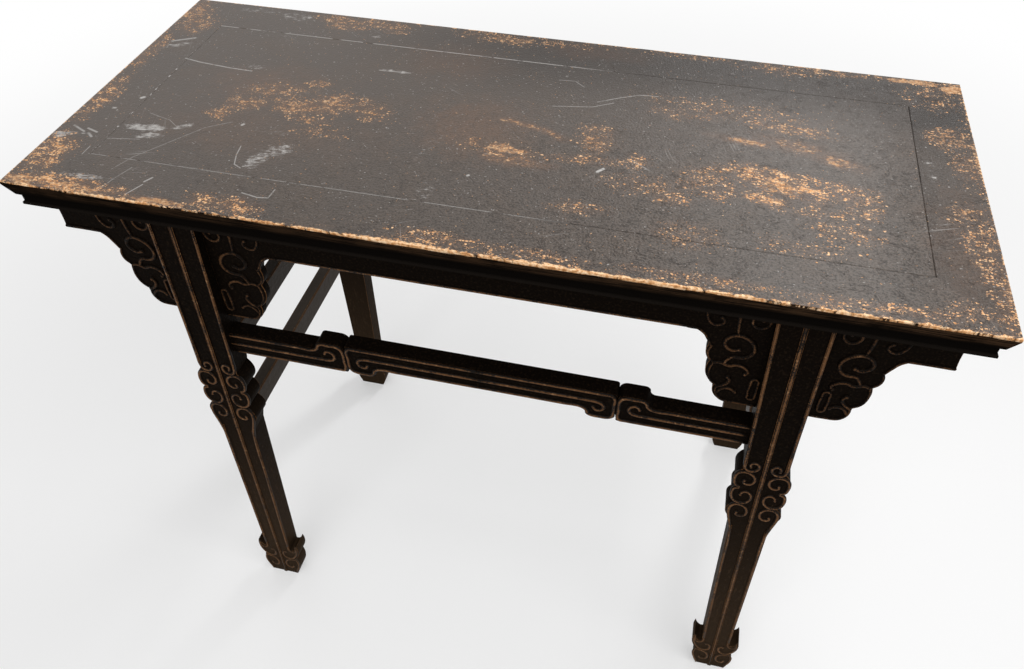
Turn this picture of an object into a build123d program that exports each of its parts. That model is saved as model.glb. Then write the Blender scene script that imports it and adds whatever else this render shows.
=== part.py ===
from build123d import *
import os

# Chinese recessed-leg altar table in black lacquered wood.
# Millimetres.  X runs along the table, Y runs from front (-) to back (+),
# Z is up, and the origin is on the floor under the middle of the top.

os.makedirs("parts", exist_ok=True)

# ---------------------------------------------------------------- driving sizes

# whole table
table_length = 1080.0
table_depth = 460.0
table_height = 850.0

# running fit round every tenon, tongue, slot and dovetail
fit = 0.1

# frame of the top, and the moulding worked round its edge
rail_width = 70.0
top_thickness = 37.0
arris_height = 4.5
arris_radius = 1.6
bevel_drop = 22.0
bevel_inset = 6.0
band_inset = 9.5
lip_height = 4.0
lip_inset = 7.5
lip_slope = 1.0
mitre_tenon_width = 26.0
mitre_tenon_thickness = 10.0
mitre_tenon_end_cover = 15.0
mitre_tenon_rise = 7.0

# floating panel
panel_thickness = 14.0
panel_gap = 0.3
panel_edge_chamfer = 0.7
tongue_length = 8.0
tongue_thickness = 6.0
tongue_rise = 2.5

# transverse braces, dovetailed under the panel and tenoned into the long rails
brace_count = 3
brace_spacing = 235.0
brace_width = 28.0
brace_height = 20.0
dovetail_neck = 15.0
dovetail_head = 19.0
dovetail_depth = 4.0
brace_tenon_width = 16.0
brace_tenon_height = 12.0
brace_tenon_length = 14.0

# aprons, spandrel boards and end boards
apron_setback = 30.0
apron_thickness = 11.0
apron_height = 49.0
apron_edge = 1.2
end_setback = 25.0
end_hollow = 2.0
board_tongue_length = 6.0
board_tongue_thickness = 4.0
spandrel_half_width = 96.0
spandrel_neck = 14.0
spandrel_seam = 10.0
spandrel_cove_height = 22.0
spandrel_upper_lobe = 25.0
spandrel_middle_lobe = 39.0
spandrel_lower_lobe = 27.5
spandrel_cusp_inset = 2.7
spandrel_upper_notch = 8.0
spandrel_lower_notch = 19.0
spandrel_toe_inset = 36.0
spandrel_bulge = 7.0

# legs
leg_inset = 186.4
leg_half_width_top = 30.0
leg_half_width_foot = 21.0
leg_depth_top = 35.0
leg_depth_foot = 30.0
leg_splay_x = 35.2
leg_splay_y = 34.5
leg_proud = 10.8
leg_tenon_width = 34.0
leg_tenon_thickness = 6.5
leg_tenon_length = 22.0
bead_height = 1.5
middle_bead_width = 5.6
edge_bead_width = 4.0

# carved swelling half way down each leg; a swell is measured out from the leg's straight edge
ornament_drop = 34.0
ornament_upper_lobe = 38.0
ornament_middle_lobe = 35.0
ornament_lower_lobe = 32.0
ornament_tail = 20.0
ornament_notch_inset = 1.0
ornament_tail_swell = 3.8
ornament_bulge = 8.3

# carved foot
foot_tip_height = 98.0
foot_tip_swell = 13.0
foot_lobe_height = 79.0
foot_lobe_swell = 15.5
foot_gap_height = 81.0
foot_gap_width = 4.0
foot_notch_height = 54.0
foot_notch_swell = 7.0
foot_toe_height = 29.0
foot_toe_swell = 9.7
foot_base_height = 3.0
foot_base_swell = 3.0

# long stretchers between the legs of each side
stretcher_gap = 10.5
stretcher_setback = 9.3
stretcher_depth = 21.5
stretcher_band = 36.0
stretcher_step = 14.0
scroll_break = 175.0
scroll_reach = 38.0
scroll_shoulder = 11.0
scroll_corner = 4.0
break_width = 1.4
break_depth = 3.0

# short stretchers between the legs of each end
side_stretcher_width = 20.0
side_stretcher_height = 36.0
side_stretcher_clearance = 1.5
side_stretcher_spacing = 141.5
side_stretcher_edge = 1.5

# tenons of all stretchers
tenon_thickness = 8.0
tenon_shoulder = 5.0
tenon_length = 19.0

# how far a stretcher is left long before its shoulder is scribed to the leg
shoulder_allowance = 4.0

# ---------------------------------------------------------------- derived sizes

half_length = table_length / 2
half_depth = table_depth / 2
rail_underside = table_height - top_thickness
panel_underside = table_height - panel_thickness
tongue_underside = panel_underside + tongue_rise
rail_inner_x = half_length - rail_width
rail_inner_y = half_depth - rail_width
brace_places = [brace_spacing * (i - (brace_count - 1) / 2) for i in range(brace_count)]
brace_tenon_middle = panel_underside - brace_height / 2

apron_front = apron_setback - half_depth
apron_back = apron_front + apron_thickness
apron_bottom = rail_underside - apron_height
apron_end = half_length - end_setback
spandrel_cusp = apron_bottom - spandrel_cove_height
spandrel_bottom = spandrel_cusp - spandrel_upper_lobe - spandrel_middle_lobe - spandrel_lower_lobe

leg_top_x = half_length - leg_inset
leg_top_y = apron_front - leg_proud
leg_foot_x = leg_top_x + leg_splay_x
leg_foot_y = leg_top_y - leg_splay_y


def leg_centre(height):
    """Distance of a leg's middle line from the middle of the table, at a height."""
    return leg_top_x + leg_splay_x * (1 - height / table_height)


def leg_face(height):
    """Y of a front leg's bead crests, at a height."""
    return leg_top_y - leg_splay_y * (1 - height / table_height)


def leg_back(height):
    """Y of a front leg's back face, at a height."""
    depth = leg_depth_foot + (leg_depth_top - leg_depth_foot) * height / table_height
    return leg_face(height) + depth


def leg_half_width(height):
    """Half the width of a leg's face beside its ornament, at a height."""
    return leg_half_width_foot + (leg_half_width_top - leg_half_width_foot) * height / table_height


spandrel_centre = leg_centre((rail_underside + spandrel_bottom) / 2)
spandrel_inner = spandrel_centre - spandrel_half_width - spandrel_neck - spandrel_seam

stretcher_top = spandrel_bottom - stretcher_gap
stretcher_bottom = stretcher_top - stretcher_band - stretcher_step
stretcher_front = leg_face(stretcher_top) + stretcher_setback
stretcher_back = stretcher_front + stretcher_depth
stretcher_middle_y = (stretcher_front + stretcher_back) / 2
stretcher_middle = stretcher_bottom + stretcher_band / 2
stretcher_tenon_height = stretcher_band - 2 * tenon_shoulder
stretcher_tenon_end = leg_centre(stretcher_middle) - leg_half_width(stretcher_middle) + tenon_length

side_stretcher_heights = {
    "upper": stretcher_bottom - side_stretcher_clearance - side_stretcher_height / 2,
    "lower": stretcher_bottom - side_stretcher_clearance - side_stretcher_height / 2 - side_stretcher_spacing,
}
side_tenon_height = side_stretcher_height - 2 * tenon_shoulder

ornament_top = stretcher_bottom - ornament_drop

# ---------------------------------------------------------------- top frame


def edge_moulding(inner, mouth):
    """Section of a frame rail: moulded outer edge at x = 0, panel groove at x = inner."""
    Polyline(
        (0, table_height),
        (0, table_height - arris_height),
        (bevel_inset, table_height - bevel_drop),
        (band_inset, table_height - bevel_drop),
        (band_inset, rail_underside + lip_height),
        (lip_inset, rail_underside + lip_height - lip_slope),
        (lip_inset, rail_underside),
        (inner, rail_underside),
        (inner, tongue_underside - fit),
        (inner - mouth, tongue_underside - fit),
        (inner - mouth, tongue_underside + tongue_thickness + fit),
        (inner, tongue_underside + tongue_thickness + fit),
        (inner, table_height - panel_edge_chamfer),
        (inner - panel_edge_chamfer, table_height),
        close=True,
    )


groove_depth = tongue_length + panel_gap + fit
leg_cheek_front = (leg_face(rail_underside) + bead_height + apron_front) / 2
leg_cheek_back = (leg_back(rail_underside) + apron_back) / 2
leg_tenon_places = [
    (leg_centre(rail_underside), leg_cheek_front),
    (leg_centre(rail_underside), leg_cheek_back),
]
mitre_tenon_x = half_length - mitre_tenon_end_cover
mitre_tenon_y = half_depth - rail_width / 2
mitre_tenon_z = rail_underside + mitre_tenon_rise + mitre_tenon_thickness / 2

with BuildPart() as front_long_rail:
    with BuildSketch(Plane.YZ.offset(-half_length)):
        with BuildLine(Location((-half_depth, 0))):
            edge_moulding(rail_width, groove_depth)
        make_face()
    extrude(amount=table_length)
    arris = front_long_rail.edges().filter_by(Axis.X).group_by(Axis.Z)[-1].sort_by(Axis.Y)[0]
    fillet(arris, arris_radius)
    for side in (-1, 1):
        corner = Plane(origin=(side * half_length, -half_depth, 0), x_dir=(0, 0, 1), z_dir=(side, 1, 0))
        split(bisect_by=corner, keep=Keep.BOTTOM)
    # tenons into the end rails
    with Locations((0, -mitre_tenon_y, mitre_tenon_z)):
        Box(2 * mitre_tenon_x, mitre_tenon_width, mitre_tenon_thickness)
    # mortises for the leg tenons
    with Locations(*[(side * x, y, rail_underside) for side in (-1, 1) for x, y in leg_tenon_places]):
        Box(
            leg_tenon_width + 2 * fit,
            leg_tenon_thickness + 2 * fit,
            leg_tenon_length + fit,
            align=(Align.CENTER, Align.CENTER, Align.MIN),
            mode=Mode.SUBTRACT,
        )
    # mortises for the brace tenons
    with Locations(*[(x, -rail_inner_y, brace_tenon_middle) for x in brace_places]):
        Box(
            brace_tenon_width + 2 * fit,
            2 * (brace_tenon_length + fit),
            brace_tenon_height + 2 * fit,
            mode=Mode.SUBTRACT,
        )

with BuildPart() as left_end_rail:
    with BuildSketch(Plane.XZ.offset(-half_depth)):
        with BuildLine(Location((-half_length, 0))):
            edge_moulding(rail_width, groove_depth)
        make_face()
    extrude(amount=table_depth)
    arris = left_end_rail.edges().filter_by(Axis.Y).group_by(Axis.Z)[-1].sort_by(Axis.X)[0]
    fillet(arris, arris_radius)
    for side in (-1, 1):
        corner = Plane(origin=(-half_length, side * half_depth, 0), x_dir=(0, 0, 1), z_dir=(1, side, 0))
        split(bisect_by=corner, keep=Keep.BOTTOM)
    # mortises for the tenons of the long rails
    with Locations(*[(0, side * mitre_tenon_y, mitre_tenon_z) for side in (-1, 1)]):
        Box(
            2 * (mitre_tenon_x + fit),
            mitre_tenon_width + 2 * fit,
            mitre_tenon_thickness + 2 * fit,
            mode=Mode.SUBTRACT,
        )

# ---------------------------------------------------------------- panel and its braces

panel_length = 2 * (rail_inner_x - panel_gap)
panel_depth = 2 * (rail_inner_y - panel_gap)


def dovetail(clearance):
    """Outline of a brace's dovetail key, standing on the underside of the panel."""
    Polyline(
        (-dovetail_neck / 2 - clearance, panel_underside),
        (dovetail_neck / 2 + clearance, panel_underside),
        (dovetail_head / 2 + clearance, panel_underside + dovetail_depth + clearance),
        (-dovetail_head / 2 - clearance, panel_underside + dovetail_depth + clearance),
        close=True,
    )


with BuildPart() as top_panel:
    with Locations((0, 0, panel_underside)):
        Box(panel_length, panel_depth, panel_thickness, align=(Align.CENTER, Align.CENTER, Align.MIN))
    chamfer(top_panel.faces().sort_by(Axis.Z)[-1].edges(), panel_edge_chamfer)
    with Locations((0, 0, tongue_underside)):
        Box(
            panel_length + 2 * tongue_length,
            panel_depth + 2 * tongue_length,
            tongue_thickness,
            align=(Align.CENTER, Align.CENTER, Align.MIN),
        )
    for x in brace_places:
        with BuildSketch(Plane(origin=(x, rail_inner_y, 0), x_dir=(1, 0, 0), z_dir=(0, -1, 0))):
            with BuildLine():
                dovetail(fit)
            make_face()
        extrude(amount=2 * rail_inner_y, mode=Mode.SUBTRACT)


def transverse_brace(x):
    """One transverse brace with its dovetail key and its two tenons."""
    with BuildPart() as piece:
        with Locations((x, 0, brace_tenon_middle)):
            Box(brace_width, 2 * rail_inner_y, brace_height)
            Box(brace_tenon_width, 2 * (rail_inner_y + brace_tenon_length), brace_tenon_height)
        with BuildSketch(Plane(origin=(x, rail_inner_y, 0), x_dir=(1, 0, 0), z_dir=(0, -1, 0))):
            with BuildLine():
                dovetail(0)
            make_face()
        extrude(amount=2 * rail_inner_y)
    return piece


# ---------------------------------------------------------------- aprons

with BuildPart() as front_apron:
    with BuildSketch(Plane.XZ.offset(-apron_front)):
        with Locations((0, apron_bottom)):
            Rectangle(2 * spandrel_inner, apron_height, align=(Align.CENTER, Align.MIN))
    extrude(amount=-apron_thickness)
    lower_edge = front_apron.edges().filter_by(Axis.X).group_by(Axis.Z)[0].sort_by(Axis.Y)[0]
    chamfer(lower_edge, apron_edge)
    # tongues into the spandrel boards
    with Locations((0, apron_front + apron_thickness / 2, apron_bottom + board_tongue_length)):
        Box(
            2 * (spandrel_inner + board_tongue_length),
            board_tongue_thickness,
            apron_height - board_tongue_length,
            align=(Align.CENTER, Align.CENTER, Align.MIN),
        )

# ---------------------------------------------------------------- spandrel and end boards

end_corner = Plane(origin=(apron_end, apron_front, 0), x_dir=(0, 0, 1), z_dir=(1, 1, 0))
apron_middle = (apron_bottom + rail_underside) / 2
apron_middle_y = (apron_front + apron_back) / 2
spandrel_reach = spandrel_half_width + spandrel_neck

with BuildPart() as front_right_spandrel:
    with BuildSketch(Plane(origin=(spandrel_centre, apron_front, 0), x_dir=(1, 0, 0), z_dir=(0, -1, 0))):
        with BuildLine():
            neck = (spandrel_reach, apron_bottom)
            cusp = (spandrel_half_width - spandrel_cusp_inset, spandrel_cusp)
            upper_notch = (spandrel_half_width - spandrel_upper_notch, spandrel_cusp - spandrel_upper_lobe)
            lower_notch = (spandrel_half_width - spandrel_lower_notch, spandrel_bottom + spandrel_lower_lobe)
            toe = (spandrel_half_width - spandrel_toe_inset, spandrel_bottom)
            Polyline(toe, (0, spandrel_bottom), (0, rail_underside), (spandrel_reach, rail_underside), neck)
            SagittaArc(neck, cusp, -spandrel_bulge / 2)
            SagittaArc(cusp, upper_notch, spandrel_bulge / 2)
            SagittaArc(upper_notch, lower_notch, spandrel_bulge)
            SagittaArc(lower_notch, toe, spandrel_bulge)
        make_face()
        mirror(about=Plane.YZ)
    with BuildSketch(Plane.XZ.offset(-apron_front)):
        with BuildLine():
            Polyline(
                (apron_end, apron_bottom),
                (spandrel_inner, apron_bottom),
                (spandrel_inner, rail_underside),
                (apron_end, rail_underside),
            )
            ThreePointArc(
                (apron_end, rail_underside), (apron_end - end_hollow, apron_middle), (apron_end, apron_bottom)
            )
        make_face()
    extrude(amount=-apron_thickness)
    split(bisect_by=end_corner, keep=Keep.BOTTOM)
    # groove for the apron's tongue
    with Locations((spandrel_inner, apron_middle_y, apron_bottom + board_tongue_length - fit)):
        Box(
            2 * (board_tongue_length + fit),
            board_tongue_thickness + 2 * fit,
            apron_height,
            align=(Align.CENTER, Align.CENTER, Align.MIN),
            mode=Mode.SUBTRACT,
        )

with BuildPart() as right_end_board:
    with BuildSketch(Plane.XZ.offset(apron_front)):
        with BuildLine():
            Polyline(
                (apron_end, apron_bottom),
                (apron_end - apron_thickness, apron_bottom),
                (apron_end - apron_thickness, rail_underside),
                (apron_end, rail_underside),
            )
            ThreePointArc(
                (apron_end, rail_underside), (apron_end - end_hollow, apron_middle), (apron_end, apron_bottom)
            )
        make_face()
    extrude(amount=-2 * apron_front)
    split(bisect_by=end_corner, keep=Keep.TOP)
    split(bisect_by=Plane(origin=(apron_end, -apron_front, 0), x_dir=(0, 0, 1), z_dir=(1, -1, 0)), keep=Keep.TOP)

# ---------------------------------------------------------------- legs

leg_foot = Vector(leg_foot_x, leg_foot_y, 0)
leg_run = Vector(leg_top_x, leg_top_y, table_height) - leg_foot
leg_normal = Vector(1, 0, 0).cross(leg_run)
leg_plane = Plane(origin=leg_foot, x_dir=leg_run.cross(leg_normal), z_dir=leg_normal)
leg_ground = leg_plane.offset(-bead_height)
back_foot = Vector(leg_foot_x, leg_foot_y + leg_depth_foot, 0)
back_run = Vector(leg_top_x, leg_top_y + leg_depth_top, table_height) - back_foot
leg_back_plane = Plane(origin=back_foot, x_dir=(1, 0, 0), z_dir=Vector(1, 0, 0).cross(back_run))

# how far the outline runs past the floor and the shoulder before it is cut level
overrun = 6.0
ornament_bottom = (
    ornament_top - ornament_upper_lobe - ornament_middle_lobe - ornament_lower_lobe - ornament_tail
)


def leg_edge(height, swell=0.0):
    """Point in a leg's own plane, at a height and as far out from the face's straight edge as the swell."""
    return (leg_half_width(height) + swell, height)


def edge_bead(low, high):
    """Outline of the raised bead along one edge of a leg's face, between two heights."""
    Polyline(
        leg_edge(low),
        leg_edge(high),
        leg_edge(high, -edge_bead_width),
        leg_edge(low, -edge_bead_width),
        close=True,
    )


with BuildPart() as leg_blank:
    with BuildSketch(leg_ground):
        with BuildLine():
            base = leg_edge(-overrun, foot_base_swell)
            toe_start = leg_edge(foot_base_height, foot_base_swell)
            foot_notch = leg_edge(foot_notch_height, foot_notch_swell)
            tip = leg_edge(foot_tip_height, foot_tip_swell)
            gap_edge = leg_edge(foot_gap_height)
            gap_end = leg_edge(foot_gap_height, foot_gap_width)
            tail = leg_edge(ornament_bottom)
            lobe_end = leg_edge(ornament_bottom + ornament_tail, ornament_tail_swell)
            lower_notch = leg_edge(ornament_bottom + ornament_tail + ornament_lower_lobe, -ornament_notch_inset)
            upper_notch = leg_edge(ornament_top - ornament_upper_lobe, -ornament_notch_inset)
            head = leg_edge(ornament_top, -ornament_notch_inset)
            Polyline(base, toe_start)
            ThreePointArc(toe_start, leg_edge(foot_toe_height, foot_toe_swell), foot_notch)
            ThreePointArc(foot_notch, leg_edge(foot_lobe_height, foot_lobe_swell), tip)
            SagittaArc(tip, gap_end, foot_gap_width / 2)
            Polyline(gap_end, gap_edge, tail, lobe_end)
            SagittaArc(lobe_end, lower_notch, -ornament_bulge)
            SagittaArc(lower_notch, upper_notch, -ornament_bulge)
            SagittaArc(upper_notch, head, -ornament_bulge)
            Polyline(head, leg_edge(ornament_top + overrun), leg_edge(table_height), (0, table_height))
            Polyline((0, table_height), (0, -overrun), base)
        make_face()
        mirror(about=Plane.YZ)
    extrude(amount=-leg_depth_top - overrun)
    split(bisect_by=leg_back_plane, keep=Keep.TOP)
    with BuildSketch(leg_ground):
        with Locations((0, -overrun)):
            Rectangle(middle_bead_width, table_height + overrun, align=(Align.CENTER, Align.MIN))
        with BuildLine():
            edge_bead(foot_gap_height, ornament_bottom)
        make_face()
        with BuildLine():
            edge_bead(ornament_top + overrun, table_height)
        make_face()
        mirror(about=Plane.YZ)
    extrude(amount=bead_height)
    split(bisect_by=Plane.XY, keep=Keep.TOP)
    split(bisect_by=Plane.XY.offset(rail_underside), keep=Keep.BOTTOM)

with BuildPart() as front_right_leg:
    add(leg_blank.part)
    # twin tenons into the long rail
    with Locations(*[(x, y, rail_underside) for x, y in leg_tenon_places]):
        Box(
            leg_tenon_width,
            leg_tenon_thickness,
            leg_tenon_length,
            align=(Align.CENTER, Align.CENTER, Align.MIN),
        )
    # open slot that straddles the spandrel board
    with Locations((leg_top_x, apron_middle_y, spandrel_bottom)):
        Box(
            2 * spandrel_half_width,
            apron_thickness + 2 * fit,
            table_height,
            align=(Align.CENTER, Align.CENTER, Align.MIN),
            mode=Mode.SUBTRACT,
        )
    # mortise for the long stretcher
    with Locations((0, stretcher_middle_y, stretcher_middle)):
        Box(
            2 * (stretcher_tenon_end + fit),
            tenon_thickness + 2 * fit,
            stretcher_tenon_height + 2 * fit,
            mode=Mode.SUBTRACT,
        )
    # mortises for the side stretchers
    with Locations(*[(leg_centre(z), leg_back(z), z) for z in side_stretcher_heights.values()]):
        Box(
            tenon_thickness + 2 * fit,
            2 * (tenon_length + fit),
            side_tenon_height + 2 * fit,
            mode=Mode.SUBTRACT,
        )

# ---------------------------------------------------------------- stretchers

step_radius = stretcher_step / 2
hump_end = scroll_break + scroll_reach
hook_end = scroll_break - scroll_reach
band_top = stretcher_top - stretcher_step
hook_top = stretcher_bottom + stretcher_step
scroll_middle = (stretcher_top + stretcher_bottom) / 2
stretcher_end = leg_centre(stretcher_middle) - leg_half_width(stretcher_middle) + shoulder_allowance

with BuildPart() as front_stretcher:
    with BuildSketch(Plane.XZ.offset(-stretcher_front)):
        with BuildLine():
            # upper edge: middle band, break, scroll hump, side band
            Line((0, stretcher_top), (scroll_break - scroll_corner, stretcher_top))
            CenterArc((scroll_break - scroll_corner, stretcher_top - scroll_corner), scroll_corner, 90, -90)
            Line((scroll_break, stretcher_top - scroll_corner), (scroll_break, stretcher_top - scroll_shoulder))
            CenterArc((scroll_break + scroll_shoulder, stretcher_top - scroll_shoulder), scroll_shoulder, 180, -90)
            Line((scroll_break + scroll_shoulder, stretcher_top), (hump_end - step_radius, stretcher_top))
            CenterArc((hump_end - step_radius, stretcher_top - step_radius), step_radius, 90, -90)
            CenterArc((hump_end + step_radius, stretcher_top - step_radius), step_radius, 180, 90)
            Polyline(
                (hump_end + step_radius, band_top),
                (stretcher_end, band_top),
                (stretcher_end, stretcher_bottom),
                (scroll_break + scroll_corner, stretcher_bottom),
            )
            # lower edge: side band, break, scroll hook, middle band
            CenterArc((scroll_break + scroll_corner, stretcher_bottom + scroll_corner), scroll_corner, 270, -90)
            Line(
                (scroll_break, stretcher_bottom + scroll_corner), (scroll_break, stretcher_bottom + scroll_shoulder)
            )
            CenterArc((scroll_break - scroll_shoulder, stretcher_bottom + scroll_shoulder), scroll_shoulder, 0, -90)
            Line((scroll_break - scroll_shoulder, stretcher_bottom), (hook_end + step_radius, stretcher_bottom))
            CenterArc((hook_end + step_radius, stretcher_bottom + step_radius), step_radius, 270, -90)
            CenterArc((hook_end - step_radius, stretcher_bottom + step_radius), step_radius, 0, 90)
            Polyline((hook_end - step_radius, hook_top), (0, hook_top), (0, stretcher_top))
        make_face()
        mirror(about=Plane.YZ)
    extrude(amount=-stretcher_depth)
    add(leg_blank.part, mode=Mode.SUBTRACT)
    mirror(leg_blank.part, about=Plane.YZ, mode=Mode.SUBTRACT)
    # tenons into the legs
    with Locations(
        *[(side * (stretcher_tenon_end - tenon_length), stretcher_middle_y, stretcher_middle) for side in (-1, 1)]
    ):
        Box(2 * tenon_length, tenon_thickness, stretcher_tenon_height)
    # fine grooves that mark off the three bands
    with Locations(*[(side * scroll_break, stretcher_front, scroll_middle) for side in (-1, 1)]):
        Box(break_width, 2 * break_depth, stretcher_top - stretcher_bottom, mode=Mode.SUBTRACT)


def side_stretcher(height):
    """Right-hand stretcher between the front and rear legs, its middle at a height."""
    with BuildPart() as piece:
        with Locations((leg_centre(height), 0, height)):
            Box(side_stretcher_width, 2 * (shoulder_allowance - leg_back(height)), side_stretcher_height)
        chamfer(piece.edges().filter_by(Axis.Y), side_stretcher_edge)
        add(leg_blank.part, mode=Mode.SUBTRACT)
        mirror(leg_blank.part, about=Plane.XZ, mode=Mode.SUBTRACT)
        with Locations((leg_centre(height), 0, height)):
            Box(tenon_thickness, 2 * (tenon_length - leg_back(height)), side_tenon_height)
    return piece


# ---------------------------------------------------------------- finished pieces


def save(piece, name):
    """Label a finished piece and write it to its own file."""
    piece.part.label = name
    export_step(piece.part, f"parts/{name}.step")


def save_both_ends(right_piece, name):
    """Write a right-hand piece and its mirror image at the left end."""
    with BuildPart() as left_piece:
        mirror(right_piece.part, about=Plane.YZ)
    save(right_piece, f"right_{name}")
    save(left_piece, f"left_{name}")


def save_both_sides(front_piece, name):
    """Write a front piece and its mirror image at the back."""
    with BuildPart() as rear_piece:
        mirror(front_piece.part, about=Plane.XZ)
    save(front_piece, f"front_{name}")
    save(rear_piece, f"rear_{name}")


def save_four_corners(right_piece, name):
    """Write a front right piece and its images at the other three corners."""
    with BuildPart() as left_piece:
        mirror(right_piece.part, about=Plane.YZ)
    save_both_sides(right_piece, f"right_{name}")
    save_both_sides(left_piece, f"left_{name}")


save_both_sides(front_long_rail, "long_rail")
with BuildPart() as right_end_rail:
    mirror(left_end_rail.part, about=Plane.YZ)
save_both_ends(right_end_rail, "end_rail")
save(top_panel, "top_panel")
for number, x in enumerate(brace_places, 1):
    save(transverse_brace(x), f"transverse_brace_{number}")
save_both_sides(front_apron, "apron")
save_four_corners(front_right_spandrel, "spandrel")
save_both_ends(right_end_board, "end_board")
save_four_corners(front_right_leg, "leg")
save_both_sides(front_stretcher, "stretcher")
for place, height in side_stretcher_heights.items():
    save_both_ends(side_stretcher(height), f"{place}_side_stretcher")
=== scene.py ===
"""Looks of a Chinese recessed-leg altar table in worn black lacquer.

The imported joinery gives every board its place.  Each board is given soft, rubbed
edges, and the carving of the spandrels, legs, feet and stretchers stands on them
as raised ridges.  The boards, the carving and the marks on the top are sized in
millimetres, which MM turns into metres.  The finishes and the studio use metres.
X runs along the table, Y from front (-) to back (+), and Z is up.
"""

import logging
import math
import random
from collections.abc import Iterator
from dataclasses import dataclass, field
from enum import Enum

import bmesh
import bpy
from mathutils import Matrix, Vector


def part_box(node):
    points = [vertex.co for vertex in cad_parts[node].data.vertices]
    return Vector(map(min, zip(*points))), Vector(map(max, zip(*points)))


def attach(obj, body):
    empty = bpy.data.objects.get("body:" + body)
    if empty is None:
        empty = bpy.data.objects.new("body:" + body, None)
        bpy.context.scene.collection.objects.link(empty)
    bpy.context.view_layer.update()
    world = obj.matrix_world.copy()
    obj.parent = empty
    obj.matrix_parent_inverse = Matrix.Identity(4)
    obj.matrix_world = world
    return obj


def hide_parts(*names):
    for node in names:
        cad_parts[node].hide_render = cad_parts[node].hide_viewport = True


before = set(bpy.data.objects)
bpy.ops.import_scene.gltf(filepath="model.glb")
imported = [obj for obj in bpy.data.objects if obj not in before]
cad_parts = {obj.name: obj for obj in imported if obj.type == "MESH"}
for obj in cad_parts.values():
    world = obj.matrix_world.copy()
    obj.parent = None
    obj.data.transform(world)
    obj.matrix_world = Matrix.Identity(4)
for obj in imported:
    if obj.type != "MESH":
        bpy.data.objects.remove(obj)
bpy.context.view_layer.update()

MM = 0.001
BODY = "root"
TOP_SLOT = "top_lacquer"
BODY_SLOT = "body_lacquer"
BRACE_SLOT = "brace_wood"
RUBBED = "rubbed"

# the top, from the middle of the table and from the floor, in millimetres
HALF_LENGTH = 540.0
HALF_DEPTH = 230.0
HEIGHT = 850.0
TOP_THICKNESS = 37.0

# its half length, half depth and height in metres, as the finishes take them
HALF_SIZE = (HALF_LENGTH * MM, HALF_DEPTH * MM, HEIGHT * MM)

Colour = tuple[float, float, float]
Place = tuple[float, float, float]
Point = tuple[float, float]
Socket = bpy.types.NodeSocket

log = logging.getLogger("altar_table")


class Face(Enum):
    """Which long side of the table a board faces."""

    FRONT = -1
    REAR = 1


class End(Enum):
    """Which end of the table a board is near."""

    LEFT = -1
    RIGHT = 1


class Half(Enum):
    """Which half of a leg or board, seen from the leg's middle line."""

    INNER = -1
    OUTER = 1


def corners() -> Iterator[tuple[int, str, Face, End]]:
    """Gives the number, name, long side and end of each corner of the table."""
    for number, (face, end) in enumerate((f, e) for f in Face for e in End):
        yield number, f"{face.name.lower()}_{end.name.lower()}", face, end


# ---------------------------------------------------------------- node trees


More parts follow.
